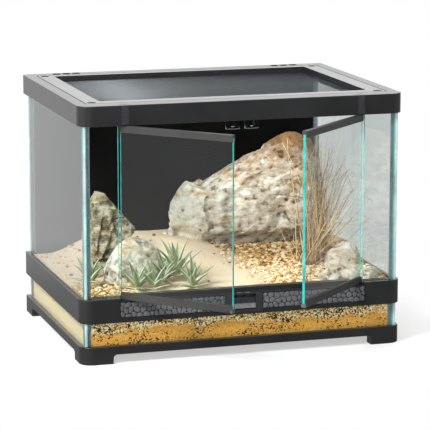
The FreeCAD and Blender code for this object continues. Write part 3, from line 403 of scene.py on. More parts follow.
VENT_GREY = moulded("vent_relief", "454548", "58585b", 0.45, 0.6, 0.5 * MM)
VENT_GROOVE = moulded("vent_groove", "0b0b0c", "121213", 0.5, 0.65, 0.5 * MM)
LOCK_BLACK = moulded("lock_black", "0e0e0f", "171718", 0.72, 0.85)
GLASS = clear_glass()
DOOR_EDGE = cut_edge("glass_edge", "1d9a96", "4cc8c1", 0.25)
GLUED_EDGE = cut_edge("glued_edge", "aab4b4", "d0d6d4", 0.2)
CLEAR_CLIP = plain("clear_clip", (8 * MM, 2, "b9bfbf", "cdd1d1"), (3 * MM, 4, 0.06, 0.14),
                   (4 * MM, 2, 0.03, 0.1 * MM), through="e4e8e8", IOR=1.46, Transmission_Weight=1.0)
SILICONE = plain("silicone", (9 * MM, 4, "87939a", "a3adb2"), (5 * MM, 3, 0.25, 0.45),
                 (8 * MM, 3, 0.1, 0.3 * MM), through="d9dedc", IOR=1.41, Transmission_Weight=0.7)
SCREEN_WIRE = bright_metal("screen_wire", "7d8387", "9aa0a4", 0.35, 0.5)
BED_SAND = bed_sand()
TOP_SAND = top_sand()
OCHRE_ROCK = stone("rock_ochre", "756c5a", "d0c8b2", "f6f1e6", "c99a52", (0.03, -0.05), (0.25, 0.33))
GREY_ROCK = stone("rock_grey", "352d22", "71674f", "c4b9a2", "96754a")
PALE_ROCK = stone("rock_pale", "877e6c", "c9c0ae", "f1ebe0", "cdb083")
BROWN_ROCK = stone("rock_brown", "857761", "d9cdb8", "f3ecde", "c19c68")
GRAVEL = tinted("gravel", (1.5 * MM, 4, -0.12, 0.12), (2 * MM, 3, 0.7, 0.95), (0.9 * MM, 4, 0.4, 0.4 * MM),
                (0.05, "7d5a2e"), (0.3, "c99b55"), (0.6, "ecd19a"), (0.95, "f7ead0"))
LEAF = leaf_skin()
DRY_STALK = tinted("dry_stalk", (5 * MM, 5, -0.2, 0.2), (3 * MM, 3, 0.55, 0.8), (1.0 * MM, 3, 0.2, 0.2 * MM),
                   (0.05, "523414"), (0.35, "a97a36"), (0.65, "dfb66e"), (1.0, "f8e4b8"))


# Frame, rails and fittings keep their CAD shapes and get these finishes.


def dress(material, *names):
    for name in names:
        slots = cad_nodes[name].data.materials
        slots.clear()
        slots.append(material)


SIDES = ("left", "right")
dress(moulded("frame_black", "1f1f20", "252526", 0.30, 0.32), "base_frame", "mid_belt", "top_frame")
dress(lid_finish(), "lid_frame")
dress(moulded("release_grey", "29292b", "333335", 0.36, 0.42), *(f"hinge_release_{side}" for side in SIDES))
dress(LOCK_BLACK, *(f"inlet_shutter_{side}_{place}" for side in SIDES for place in (1, 2, 3)))
dress(LOCK_BLACK, *(f"lid_lock_{end}_{side}" for end in ("front", "rear") for side in SIDES))
dress(moulded("bezel_black", "222224", "2e2e31", 0.32, 0.45), "latch_bezel")
dress(latch_finish(), "latch_slider")
dress(moulded("door_rail", "2e2e2d", "383836", 0.34, 0.40),
      *(f"{side}_door_{end}_rail" for side in SIDES for end in ("top", "bottom")))
dress(moulded("strike_grey", "4c4c4a", "5a5a57", 0.35, 0.42), *(f"{side}_door_strike" for side in SIDES))
dress(CLEAR_CLIP, *(f"door_stop_{side}" for side in SIDES))
dress(bright_metal("hinge_steel", "8a8c8d", "b4b6b6", 0.2, 0.35),
      "lower_hinge_pins", *(f"hinge_pin_{side}" for side in SIDES))
dress(SILICONE, "corner_seals")
dress(dark_backdrop(), "background_panel")


# Building pieces


class Heap:
    """Points, faces and per-point values gathered into one mesh."""

    def __init__(self):
        self.points = []
        self.faces = []
        self.values = {}

    def add(self, points, faces, **values):
        start = len(self.points)
        self.points.extend(points)
        self.faces.extend([tuple(start + corner for corner in face) for face in faces])
        for word, numbers in values.items():
            self.values.setdefault(word, []).extend(numbers)

    def mesh(self, name, smooth=True):
        made = bpy.data.meshes.new(name)
        made.from_pydata([tuple(point) for point in self.points], [], self.faces, shade_flat=not smooth)
        for word, numbers in self.values.items():
            made.attributes.new(word, "FLOAT", "POINT").data.foreach_set("value", numbers)
        made.update()
        return made


def add_piece(name, mesh, body, materials, replaced=()):
    piece = bpy.data.objects.new(name, mesh)
    scene.collection.objects.link(piece)
    for material in materials:
        mesh.materials.append(material)
    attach(piece, body)
    if replaced:
        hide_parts(*replaced)


def ring_faces(rings, count, foot=True, head=True):
    """Quads between rings of points that follow each other, with a face over the first and the last ring."""
    faces = []
    for ring in range(rings - 1):
        for place in range(count):
            after = (place + 1) % count
            low = ring * count
            faces.append((low + place, low + after, low + count + after, low + count + place))
    if foot:
        faces.append(tuple(reversed(range(count))))
    if head:
        faces.append(tuple(range((rings - 1) * count, rings * count)))
    return faces


def add_tube(heap, points, radii, sides, shade):
    """A closed tapering tube through points; shade is its value in the material."""
    rings = []
    for place, point in enumerate(points):
        before = points[max(place - 1, 0)]
        after = points[min(place + 1, len(points) - 1)]
        along = (after - before).normalized()
        level = Vector((0, 0, 1)) if abs(along.z) < 0.9 else Vector((1, 0, 0))
        across = along.cross(level).normalized()
        up = across.cross(along)
        for side in range(sides):
            angle = 2 * math.pi * (side + 0.5) / sides
            rings.append(point + radii[place] * (math.cos(angle) * across + math.sin(angle) * up))
    heap.add(rings, ring_faces(len(points), sides), tone=[shade] * len(rings))


# Glass panes

ARRIS = 0.6 * MM


def make_pane(node, body, edge):
    """The CAD pane with its sharp corners eased: two clear faces, cut edges and green arrises."""
    shape = bmesh.new()
    shape.from_mesh(cad_nodes[node].data)
    bmesh.ops.remove_doubles(shape, verts=shape.verts[:], dist=1e-6)
    bmesh.ops.dissolve_limit(shape, angle_limit=0.02, verts=shape.verts[:], edges=shape.edges[:])
    largest = max(face.calc_area() for face in shape.faces)
    for face in shape.faces:
        face.material_index = int(face.calc_area() < 0.5 * largest)
    bmesh.ops.bevel(shape, geom=shape.edges[:], offset=ARRIS, segments=1, affect="EDGES", material=2)
    mesh = bpy.data.meshes.new(f"{node}_pane")
    shape.to_mesh(mesh)
    shape.free()
    add_piece(f"{node}_pane", mesh, body, [GLASS, edge, DOOR_EDGE], [node])


for pane in ("left_glass", "right_glass", "back_glass", "bottom_glass", "front_lower_glass"):
    make_pane(pane, "cabinet", GLUED_EDGE)
for side in SIDES:
    make_pane(f"front_strip_{side}", "cabinet", GLUED_EDGE)
    make_pane(f"{side}_door_glass", f"{side}_door", DOOR_EDGE)


# Pebbled vent panels

CELL = 10.4 * MM
CELL_SCATTER = 0.33
CELL_RISE = 1.3 * MM
GROOVE = 0.8 * MM
VENT_BORDER = 0.5 * MM
# Rings of a pebble from its foot to its top: share of its width and of its rise
PEBBLE_RINGS = ((1.0, 0.0), (0.98, 0.62), (0.90, 0.88), (0.62, 1.0))


def sides_of(corners):
    """Each corner of a polygon with the one that follows it."""
    return zip(corners, corners[1:] + corners[:1])


def cut_polygon(corners, point, away):
    """The part of a polygon on the near side of a line through point."""
    kept = []
    for corner, follower in sides_of(corners):
        here = (corner - point).dot(away)
        there = (follower - point).dot(away)
        if here <= 0:
            kept.append(corner)
        if (here < 0 < there) or (there < 0 < here):
            kept.append(corner.lerp(follower, here / (here - there)))
    return kept


def rounded(corners):
    """A polygon with each corner cut back to a quarter of its edges."""
    softer = []
    for corner, follower in sides_of(corners):
        softer.append(corner.lerp(follower, 0.25))
        softer.append(corner.lerp(follower, 0.75))
    return softer


def make_vent(side, seed):
    """A panel of irregular pebble-like cells on a back plate."""
    node = f"vent_panel_{side}"
    low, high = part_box(node)
    dice = random.Random(seed)
    columns = round((high.x - low.x) / CELL)
    rows = max(3, round((high.z - low.z) / CELL))
    wide = (high.x - low.x) / columns
    tall = (high.z - low.z) / rows
    seeds = []
    for column in range(-1, columns + 1):
        for row in range(-1, rows + 1):
            shift = 0.5 * (row % 2)
            across = low.x + (column + 0.5 + shift + dice.uniform(-CELL_SCATTER, CELL_SCATTER)) * wide
            height = low.z + (row + 0.5 + dice.uniform(-CELL_SCATTER, CELL_SCATTER)) * tall
            seeds.append(Vector((across, height)))
    left, right = low.x + VENT_BORDER, high.x - VENT_BORDER
    foot, head = low.z + VENT_BORDER, high.z - VENT_BORDER
    outline = [Vector(corner) for corner in ((left, foot), (right, foot), (right, head), (left, head))]
    plate_front = low.y + CELL_RISE
    heap = Heap()
    corners = [(low.x, low.z), (high.x, low.z), (high.x, high.z), (low.x, high.z)]
    plate = [Vector((x, y, z)) for y in (plate_front, high.y) for x, z in corners]
    heap.add(plate, ring_faces(2, 4))
    plate_faces = len(heap.faces)
    for middle in seeds:
        cell = outline
        for other in seeds:
            apart = other - middle
            if 0 < apart.length < 4 * CELL:
                away = apart.normalized()
                cell = cut_polygon(cell, (middle + other) / 2 - away * GROOVE / 2, away)
        if len(cell) < 3:
            continue
        cell = rounded(cell)
        centre = sum(cell, Vector((0, 0))) / len(cell)
        rings = []
        for share, rise in PEBBLE_RINGS:
            for corner in cell:
                spot = centre + share * (corner - centre)
                rings.append(Vector((spot.x, plate_front - rise * CELL_RISE, spot.y)))
        heap.add(rings, ring_faces(len(PEBBLE_RINGS), len(cell), foot=False))
    mesh = heap.mesh(f"{node}_relief")
    for face in mesh.polygons:
        face.material_index = int(face.index < plate_faces)
    add_piece(f"{node}_relief", mesh, "cabinet", [VENT_GREY, VENT_GROOVE], [node])


make_vent("left", 11)
make_vent("right", 12)


# Wire screen in the lid

WIRE_PITCH = 2.0 * MM
WIRE_RADIUS = 0.09 * MM


def make_screen():
    """Wires from side to side, with those from front to back lying on them."""
    low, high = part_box("screen_mesh")
    heap = Heap()
    for axis, level in ((1, -WIRE_RADIUS), (0, WIRE_RADIUS)):
        for place in range(int((high[axis] - low[axis]) / WIRE_PITCH) + 1):
            ends = [low.copy(), high.copy()]
            for end in ends:
                end[axis] = low[axis] + place * WIRE_PITCH
                end.z = (low.z + high.z) / 2 + level
            add_tube(heap, ends, [WIRE_RADIUS] * 2, 4, 0.5)
    add_piece("wire_screen", heap.mesh("wire_screen"), "lid", [SCREEN_WIRE], ["screen_mesh"])


make_screen()


# Sand, in millimetres from the floor under the cabinet's middle

BED_PROFILE = ((-195.6, 112.0), (-30.0, 134.0), (208.4, 147.0))
SAND_SIDE = 286.6
SAND_FRONT = -195.6
SAND_BACK = 208.4
SAND_FOOT = 96.6
SAND_GRID = 2.6


def eased(value, low, high):
    """A smooth step from 0 at low to 1 at high."""
    share = min(1.0, max(0.0, (value - low) / (high - low)))
    return share * share * (3 - 2 * share)


def profile_at(profile, place):
    """The value at a place along a profile, which is rows of a place and a value."""
    places, values = zip(*profile)
    return float(np.interp(place, places, values))


def bed_level(y):
    """Height of the CAD sand bed at a place from front to back."""
    return profile_at(BED_PROFILE, y)


def gravel_share(x, y):
    """How far the sand is grit rather than smooth dune."""
    wander = 14 * noise.noise(Vector((x / 40, y / 40, 3.1)))
    right = eased(x + 1.8 * wander, 8 - 0.1 * y, 92 - 0.1 * y)
    left = eased(-x + wander, 175, 215) * (1 - 0.97 * eased(y + wander, -130, -60))
    return min(1.0, right + left)


def sand_height(x, y):
    """Height of the sand: the bed with a dune, a hollow, a bank at the rock and a fall at the left."""
    dune = 19 * math.exp(-((x + 58) / 72) ** 2 - ((y - 62) / 80) ** 2)
    hollow = 7 * eased(x, 10, 70) * eased(y, -150, -60)
    swell = 1.6 * noise.noise(Vector((x / 45, y / 45, 0.7)))
    grit = gravel_share(x, y) * 1.5 * noise.fractal(Vector((x / 9, y / 9, 5.0)), 0.8, 2.0, 4)
    fall = max(0.0, bed_level(y) - 115) * eased(-x, 150, 255)
    mound = 9 * eased(x, 0, 60) * math.exp(-((y - 36) / 26) ** 2)
    level = bed_level(y) + dune + mound - hollow - fall
    return level + swell + grit + 0.25 * noise.noise(Vector((x / 4, y / 4, 9.0)))


def make_sand_top():
    columns = round(2 * SAND_SIDE / SAND_GRID)
    rows = round((SAND_BACK - SAND_FRONT) / SAND_GRID)
    heap = Heap()
    points = []
    shares = []
    for row in range(rows + 1):
        y = SAND_FRONT + (SAND_BACK - SAND_FRONT) * row / rows
        for column in range(columns + 1):
            x = -SAND_SIDE + 2 * SAND_SIDE * column / columns
            points.append(at(x, y, sand_height(x, y)))
            shares.append(gravel_share(x, y))
    faces = []
    width = columns + 1
    for row in range(rows):
        for column in range(columns):
            corner = row * width + column
            faces.append((corner, corner + 1, corner + width + 1, corner + width))
    rim = list(range(width))
    rim += [row * width + columns for row in range(1, rows + 1)]
    rim += [rows * width + column for column in range(columns - 1, -1, -1)]
    rim += [row * width for row in range(rows - 1, 0, -1)]
    start = len(points)
    for corner in rim:
        points.append(Vector((points[corner].x, points[corner].y, SAND_FOOT * MM)))
        shares.append(shares[corner])
    for place, corner in enumerate(rim):
        after = (place + 1) % len(rim)
        faces.append((corner, start + place, start + after, rim[after]))
    faces.append(tuple(reversed(range(start, start + len(rim)))))
    heap.add(points, faces, gravel=shares)
    add_piece("sand_surface", heap.mesh("sand_surface"), "cabinet", [TOP_SAND], ["sand_top"])


def make_sand_bed():
    """The lower bed as a block whose walls are slightly uneven where the glass holds them."""
    low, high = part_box("sand_base")
    chamfer = 8.4 * MM
    corners = [(low.x + chamfer, low.y), (high.x - chamfer, low.y), (high.x, low.y + chamfer),
               (high.x, high.y - chamfer), (high.x - chamfer, high.y), (low.x + chamfer, high.y),
               (low.x, high.y - chamfer), (low.x, low.y + chamfer)]
    outline = []
    for start, end in sides_of([Vector(corner) for corner in corners]):
        pieces = max(1, round((end - start).length / (4 * MM)))
        outline += [start.lerp(end, share / pieces) for share in range(pieces)]
    middle = Vector(((low.x + high.x) / 2, (low.y + high.y) / 2))
    levels = 20
    rings = []
    for level in range(levels):
        height = low.z + (high.z - low.z) * level / (levels - 1)
        for spot in outline:
            pit = 0.6 * MM * (0.5 + 0.5 * noise.noise(Vector((spot.x, spot.y, height)) * 160))
            inward = (middle - spot).normalized() * pit
            rings.append(Vector((spot.x + inward.x, spot.y + inward.y, height)))
    heap = Heap()
    heap.add(rings, ring_faces(levels, len(outline)))
    mesh = heap.mesh("sand_bed", smooth=False)
    add_piece("sand_bed", mesh, "cabinet", [BED_SAND], ["sand_base"])


make_sand_top()
make_sand_bed()


# Stones

# Thickness of their beds, the widths of cracks and pits as shares of the noise that draws them, how wide
# their flats are in millimetres, and the angle in degrees from which an edge is drawn sharp
BED_THICKNESS = 21
CRACK_WIDTH = 0.03
PIT_WIDTH = 0.34
BROAD_FLATS = 100
SMALL_FLATS = 34
SHARP_FROM = 34


def chisel(points, normals, cuts, reach, deep, dice):
    """Knocks flats off a stone: what stands proud of each random plane is laid onto it."""
    whole = points.copy()
    for _ in range(cuts):
        middle = dice.randrange(len(points))
        near = np.linalg.norm(whole - whole[middle], axis=1) < reach * dice.uniform(0.5, 1.2) * MM
        facing = normals[near].mean(axis=0) + [dice.uniform(-0.32, 0.32) for _ in range(3)]
        facing /= np.linalg.norm(facing)
        level = (whole[near] @ facing).max() - deep * dice.uniform(0.4, 1.0) * MM
        heights = points @ facing
        proud = near & (heights > level)
        points[proud] -= np.outer(heights[proud] - level, facing)


def from_floor(spot):
    """A point in millimetres from the floor under the cabinet's middle, as at takes it."""
    return (Vector(spot) - Vector((0, CABINET_Y, 0))) / MM


def even_stone(node, piece_name, voxel, sink):
    """The CAD stone as an even mesh whose foot runs down into the sand."""
    mesh = cad_nodes[node].data.copy()
    for corner in mesh.vertices:
        if corner.co.z < bed_level((corner.co.y - CABINET_Y) / MM) * MM + 2 * MM:
            corner.co.z -= sink * MM
    raw = bpy.data.objects.new(f"{piece_name}_raw", mesh)
    scene.collection.objects.link(raw)
    remesh = raw.modifiers.new("even", "REMESH")
    remesh.mode = "VOXEL"
    remesh.voxel_size = voxel * MM
    soften = raw.modifiers.new("soften", "SMOOTH")
    soften.factor = 0.5
    soften.iterations = 2
    bpy.context.view_layer.update()
    even = raw.evaluated_get(bpy.context.evaluated_depsgraph_get())
    made = bpy.data.meshes.new_from_object(even)
    bpy.data.objects.remove(raw)
    return made


def press(spot, normal, point, hollows, saddle):
    """Presses hollows into a stone's front and a saddle into its top, at one of its points."""
    for across, height, wide, tall, lean, depth in hollows:
        rise = (point.z - height) / tall
        side = (point.x - across - lean * (point.z - height)) / wide
        spot[1] += depth * MM * math.exp(-rise * rise - side * side) * max(0.0, -normal[1])
    if saddle:
        across, wide, depth = saddle
        dip = math.exp(-((point.x - across) / wide) ** 2)
        spot[2] -= depth * MM * dip * max(0.0, normal[2])


def lay_beds(points, normals, offset, ledge, beds, lump, hollows, saddle):
    """Steps a stone along its beds and swells it; gives how far each point is from the middle of its step."""
    layer = Vector(beds).normalized()
    steps = []
    for place, spot in enumerate(points):
        point = from_floor(spot)
        warp = 14 * noise.noise(point / 60 + offset) + 4 * noise.noise(point / 17 + offset)
        turn = (point.dot(layer) + warp) / BED_THICKNESS
        patch = max(0.0, min(1.0, 0.5 + 1.6 * noise.noise(point / 48 - offset)))
        steps.append((0.2 + 0.8 * patch) * (turn - math.floor(turn) - 0.5))
        swell = lump * noise.noise(point / (30 + 3 * lump) + offset)
        swell += 1.6 * noise.noise(point / 15 - offset)
        points[place] = spot + normals[place] * (ledge * steps[-1] + swell) * MM
        press(points[place], normals[place], point, hollows, saddle)
    return steps


def break_skin(mesh, points, normals, steps, offset, undercut):
    """Roughens, cracks and pits a stone and draws its foot back; gives each point's painted shade from 0 to
    1.
    """
    shades = []
    for corner, spot, normal, step in zip(mesh.vertices, points, normals, steps):
        point = from_floor(spot)
        rough = noise.fractal(point / 13 + offset, 0.7, 2.1, 6)
        crack = max(0.0, 1 - abs(noise.noise(point / 75 - offset)) / CRACK_WIDTH)
        crack *= max(0.0, noise.noise(point / 40))
        pit = max(0.0, PIT_WIDTH - noise.voronoi(point / 19 + offset)[0][0]) / PIT_WIDTH
        pit *= max(0.0, 2 * noise.noise(point / 52 + 2 * offset) - 0.3)
        corner.co = Vector(spot) + Vector(normal) * (1.1 * rough - 5 * crack - 7 * pit) * MM
        above = point.z - bed_level(point.y)
        corner.co.y += undercut * MM * (1 - eased(above, 6, 30)) * max(0.0, -normal[1])
        corner.co.x = min(max(corner.co.x, -SAND_SIDE * MM), SAND_SIDE * MM)
        corner.co.y = min(corner.co.y, SAND_BACK * MM + CABINET_Y)
        # Painted light and shade: proud steps and bumps are lighter, cracks and pits darker.
        shade = 0.56 + 0.3 * step + 0.4 * rough - 1.0 * crack - 1.6 * pit
        shades.append(min(1.0, max(0.0, shade)))
    return shades


def make_stone(node, piece_name, material, voxel, seed, cuts, deep, ledge, beds,
               lump=3.0, hollows=(), saddle=None, undercut=0.0, sink=24.0):
    """A rough stone over its CAD solid: its foot runs down into the sand and its skin is broken up.

    cuts and deep give its flats, ledge the height of the steps of its beds, beds how these lie in X, Y and Z,
    lump the height of its swells, undercut how far its foot falls back, and sink how far it goes down. Each
    hollow is pressed into its front: middle in X and Z, half width and height, lean and depth. A saddle is
    pressed into its top: middle in X, half width and depth. Sizes are in millimetres.
    """
    made = even_stone(node, piece_name, voxel, sink)
    points = np.array([corner.co for corner in made.vertices])
    normals = np.array([corner.normal for corner in made.vertices])
    offset = Vector((seed, 0.7 * seed, -seed))
    steps = lay_beds(points, normals, offset, ledge, beds, lump, hollows, saddle)
    dice = random.Random(seed)
    chisel(points, normals, cuts, BROAD_FLATS, deep, dice)
    chisel(points, normals, 3 * cuts, SMALL_FLATS, 0.26 * deep, dice)
    shades = break_skin(made, points, normals, steps, offset, undercut)
    made.attributes.new("cavity", "FLOAT", "POINT").data.foreach_set("value", shades)
    made.materials.clear()
    made.shade_smooth()
    made.set_sharp_from_angle(angle=math.radians(SHARP_FROM))
    made.name = piece_name
    add_piece(piece_name, made, "cabinet", [material], [node])


# A valley beside the left lobe, the shade under it, two pockets in the body and one at the right
ROCK_HOLLOWS = (
    (24, 205, 13, 60, -0.15, 20),
    (-22, 158, 26, 15, 0.3, 48),
    (112, 262, 26, 22, 0.6, 12),
    (66, 225, 20, 26, 0.5, 10),
    (164, 188, 14, 26, 0.0, 20),
)
make_stone("large_rock", "large_stone", OCHRE_ROCK,
           voxel=2.2, seed=1.3, cuts=110, deep=13, ledge=6.0, beds=(-0.42, 0.1, 1.0),
           lump=6.0, hollows=ROCK_HOLLOWS, saddle=(34, 26, 17), undercut=30)
make_stone("slab_rock", "slab_stone", GREY_ROCK,
           voxel=1.8, seed=5.1, cuts=50, deep=7, ledge=6.0, beds=(1.0, 0.25, -0.30))
make_stone("pale_boulder", "boulder_stone", PALE_ROCK,
           voxel=1.8, seed=8.4, cuts=40, deep=13, ledge=3.0, beds=(0.5, 0.2, 1.0))
make_stone("right_rock", "right_stone", BROWN_ROCK,
           voxel=1.8, seed=3.9, cuts=40, deep=13, ledge=3.0, beds=(0.4, 0.0, 1.0))
make_stone("pebbles", "pebble_stones", BROWN_ROCK,
           voxel=1.6, seed=6.6, cuts=20, deep=2, ledge=0.8, beds=(0.0, 0.2, 1.0), sink=12.0)


# Loose gravel: how many stones, the share of tries that stays on the bare dune, the share of small stones,
# and radii in millimetres; stones near the large rock may be larger
GRAVEL_COUNT = 5200
DUNE_SHARE = 0.012
SMALL_SHARE = 0.66
SMALL_RADIUS = 1.2
MIDDLE_RADIUS = 2.2
LARGE_RADIUS = 4.2
ROCKSIDE_GROWTH = 1.6
GRAVEL_JITTER = 0.22


def make_gravel():
    """Loose grit on the sand, thick on the right and at the left end, thin on the dune."""
    ball = bmesh.new()
    bmesh.ops.create_icosphere(ball, subdivisions=1, radius=1.0)
    unit = [corner.co.copy() for corner in ball.verts]
    faces = [tuple(corner.index for corner in face.verts) for face in ball.faces]
    ball.free()
    dice = random.Random(21)
    heap = Heap()
    placed = 0
    while placed < GRAVEL_COUNT:
        x = dice.uniform(-SAND_SIDE + 6, SAND_SIDE - 6)
        y = dice.uniform(SAND_FRONT + 4, SAND_BACK - 6)
        if dice.random() > DUNE_SHARE + (1 - DUNE_SHARE) * gravel_share(x, y):
            continue
        placed += 1
        if dice.random() < SMALL_SHARE:
            radius = dice.uniform(SMALL_RADIUS, MIDDLE_RADIUS)
        else:
            radius = dice.uniform(MIDDLE_RADIUS, LARGE_RADIUS + ROCKSIDE_GROWTH * eased(y, -60, 20))
        turn = dice.uniform(0, 2 * math.pi)
        stretch = Vector((dice.uniform(0.8, 1.5), dice.uniform(0.7, 1.1), dice.uniform(0.5, 0.9)))
        seat = at(x, y, sand_height(x, y) + 0.25 * radius)
        shape = []
        for corner in unit:
            jitter = 1 + dice.uniform(-GRAVEL_JITTER, GRAVEL_JITTER)
            spot = Vector((corner.x * stretch.x, corner.y * stretch.y, corner.z * stretch.z))
            spot = spot * radius * jitter
            across = spot.x * math.cos(turn) - spot.y * math.sin(turn)
            back = spot.x * math.sin(turn) + spot.y * math.cos(turn)
            shape.append(seat + Vector((across, back, spot.z)) * MM)
        # Each stone's tone: paler in front, darker towards the rock at the back, partly as painted shade
        # under it, and darker at the left end as painted shade.
        pale = dice.betavariate(0.8, 0.65) + 0.14 - 0.28 * eased(y, -130, 20)
        pale -= 0.2 * eased(-x, 150, 200)
        heap.add(shape, faces, tone=[min(1.0, max(0.0, pale))] * len(shape))
    add_piece("loose_gravel", heap.mesh("loose_gravel", smooth=False), "cabinet", [GRAVEL])


make_gravel()


# Plants

# Share of a leaf's breadth along its length, and places across its upper side and its underside
LEAF_BREADTH = ((0.0, 0.72), (0.15, 0.92), (0.32, 1.0), (0.55, 0.84), (0.78, 0.50), (0.92, 0.20), (1.0, 0.0))
LEAF_TOP = (-1.0, -0.6, -0.25, 0.0, 0.25, 0.6, 1.0)
LEAF_UNDER = (0.6, 0.0, -0.6)
LEAF_STEPS = 14
LEAF_THICKNESS = 2.4


def add_leaf(heap, root, bearing, rise, droop, length, width, shade, twist):
    """A channelled leaf; sizes are in millimetres, the bearing in radians and the other angles in degrees."""
    outward = Vector((math.cos(bearing), math.sin(bearing), 0))
    across = Vector((-math.sin(bearing), math.cos(bearing), 0))
    up = Vector((0, 0, 1))
    point = root.copy()
    rings = []
    alongs = []
    edges = []
    for step in range(LEAF_STEPS):
        share = step / LEAF_STEPS
        lift = math.radians(rise - droop * share ** 1.3)
        along = outward * math.cos(lift) + up * math.sin(lift) + across * twist * share
        normal = up * math.cos(lift) - outward * math.sin(lift)
        if step:
            point = point + along.normalized() * (length * MM / LEAF_STEPS)
        breadth = profile_at(LEAF_BREADTH, share)
        half = 0.5 * width * breadth * MM
        fold = 0.45 * half * (1 - 0.6 * share)
        for places, depth in ((LEAF_TOP, 0.0), (LEAF_UNDER, LEAF_THICKNESS * MM * breadth)):
            for place in places:
                belly = depth * (1 - place * place)
                rings.append(point + across * place * half + normal * (fold * place * place - belly))
                edges.append(abs(place))
                alongs.append(share)
    count = len(LEAF_TOP) + len(LEAF_UNDER)
    faces = ring_faces(LEAF_STEPS, count, head=False)
    rings.append(point + along.normalized() * (length * MM / LEAF_STEPS))
    alongs.append(1.0)
    edges.append(0.0)
    last = (LEAF_STEPS - 1) * count
    tip = len(rings) - 1
    faces += [(last + place, last + (place + 1) % count, tip) for place in range(count)]
    heap.add(rings, faces, along=alongs, edge=edges, tone=[shade] * len(rings))


# A rosette's rings of leaves: added rise in degrees, turn, share of leaf length, and width in millimetres;
# the last two rings start with their count
OUTER_RING = (0, 0.0, 1.06, 11.5)
INNER_RING = (22, 0.37, 1.06, 10.5)
HEART_RING = (4, 12, 0.6, 0.7, 8.0)
DROOPING_RING = (3, -36, 0.2, 0.8, 10.0)


def add_rosette(heap, root, length, rise, turn, outer, inner, dice):
    """An outer and a steeper inner ring of leaves, with smaller ones in the heart and a few that droop."""
    rings = ((outer, *OUTER_RING), (inner, *INNER_RING), HEART_RING, DROOPING_RING)
    for count, lift, offset, share, width in rings:
        for step in range(count):
            bearing = turn + 2 * math.pi * (step + offset + dice.uniform(-0.08, 0.08)) / count
            reach = length * share * (0.86 + 0.14 * math.cos(3 * bearing + turn))
            angle = rise + lift + dice.uniform(-6, 6)
            droop = dice.uniform(10, 34)
            add_leaf(heap, root, bearing, angle, droop, reach, width, dice.random(), dice.uniform(-0.2, 0.2))


# The succulents: piece, replaced node, and each rosette's place in millimetres, leaf length and rise, turn,
# and outer and inner leaves
SUCCULENTS = (
    ("succulent_leaves", "succulents", (
        ((-181, -162, 118), 62, 58, 0.3, 6, 4),
        ((-151, -167, 117), 56, 58, 0.9, 6, 3),
        ((-123, -136, 124), 64, 58, 0.1, 5, 4),
        ((-97, -126, 129), 82, 58, 0.6, 6, 4),
        ((-78, -168, 117), 60, 58, 1.2, 6, 4),
    )),
    ("small_succulent_leaves", "small_succulent", (
        ((-255, -113, 125), 56, 62, 0.5, 4, 4),
    )),
)


def make_succulents():
    dice = random.Random(31)
    for piece_name, node, rosettes in SUCCULENTS:
        heap = Heap()
        for place, *shape in rosettes:
            add_rosette(heap, at(*place), *shape, dice)
        add_piece(piece_name, heap.mesh(piece_name), "cabinet", [LEAF], [node])


# The dry tuft, in millimetres: where its upright and its leaning stalks stand, and how far it may reach
GRASS_BLADES = 170
GRASS_PARTS = 12
UPRIGHT_ROOT = 196
LEANING_ROOT = 170
ROOT_FRONT = -60
ROOT_HEIGHT = 120
ROOT_SPREAD = 14
GRASS_RIGHT = 284
GRASS_LOW = 118


def make_grass():
    """A dry tuft that leans to the right: stiff and kinked stalks that cross, with short litter below."""
    dice = random.Random(41)
    heap = Heap()
    for step in range(GRASS_BLADES):
        upright = step % 3 == 0
        rise = dice.gauss(92, 7) if upright else dice.gauss(68, 14)
        bearing = dice.uniform(-0.8, 0.8)
        length = dice.uniform(170, 265) if upright else dice.uniform(80, 215)
        bend = dice.uniform(-14, 26)
        kink = dice.uniform(-75, 85) if dice.random() < 0.5 else 0.0
        where = dice.uniform(0.3, 0.85)
        thick = dice.uniform(0.65, 1.1) if upright else dice.uniform(0.5, 1.0)
        root = UPRIGHT_ROOT if upright else LEANING_ROOT
        if step % 7 == 0:
            length = dice.uniform(30, 90)
            rise = dice.uniform(5, 60)
            bearing = dice.uniform(-math.pi, math.pi)
        across = root + dice.uniform(-ROOT_SPREAD, ROOT_SPREAD)
        point = at(across, ROOT_FRONT + dice.uniform(-ROOT_SPREAD, ROOT_SPREAD), ROOT_HEIGHT)
        line = [point]
        for part in range(GRASS_PARTS):
            share = part / GRASS_PARTS
            lift = math.radians(rise - bend * share ** 1.6 - (kink if share > where else 0.0))
            sway = bearing + 0.25 * math.sin(1.3 * part + step)
            level = math.cos(lift)
            along = Vector((level * math.cos(sway), level * math.sin(sway), math.sin(lift)))
            point = point + along * (length * MM / GRASS_PARTS)
            if point.x > GRASS_RIGHT * MM or point.z < GRASS_LOW * MM:
                break
            line.append(point)
        if len(line) < 2:
            continue
        radii = [thick * MM * (1 - 0.6 * place / len(line)) for place in range(len(line))]
        add_tube(heap, line, radii, 4, dice.betavariate(0.9, 0.7))
    mesh = heap.mesh("dry_grass_blades")
    add_piece("dry_grass_blades", mesh, "cabinet", [DRY_STALK], ["dry_grass"])


make_succulents()
make_grass()


# Studio

# How bright the studio looks in reflections, from front, at 0, to back, at 1
SURROUND = ((0.10, 0.02), (0.30, 0.70), (0.45, 0.62), (0.70, 0.72), (1.0, 0.92))
# How bright the floor looks through glass towards the left and towards the right
LEFT_VEIL = 0.35
RIGHT_VEIL = 1.06
# Light on the object from all round, and how far the floor reaches in metres
AMBIENT = 0.33
FLOOR_REACH = 14.0


def surround(nodes, heading):
    """How bright the studio looks towards a heading: dark in front, light behind, dimmed at the far right."""
    share = nodes.span(nodes.axis("Y", heading), -1.0, 1.0)
    grey = nodes.ramp(share, *((where, (level, level, level)) for where, level in SURROUND))
    dimmed = nodes.span(nodes.axis("X", heading), 0.75, 0.92, 1.0, 0.55)
    return nodes.blend(1.0, grey, dimmed, "MULTIPLY")


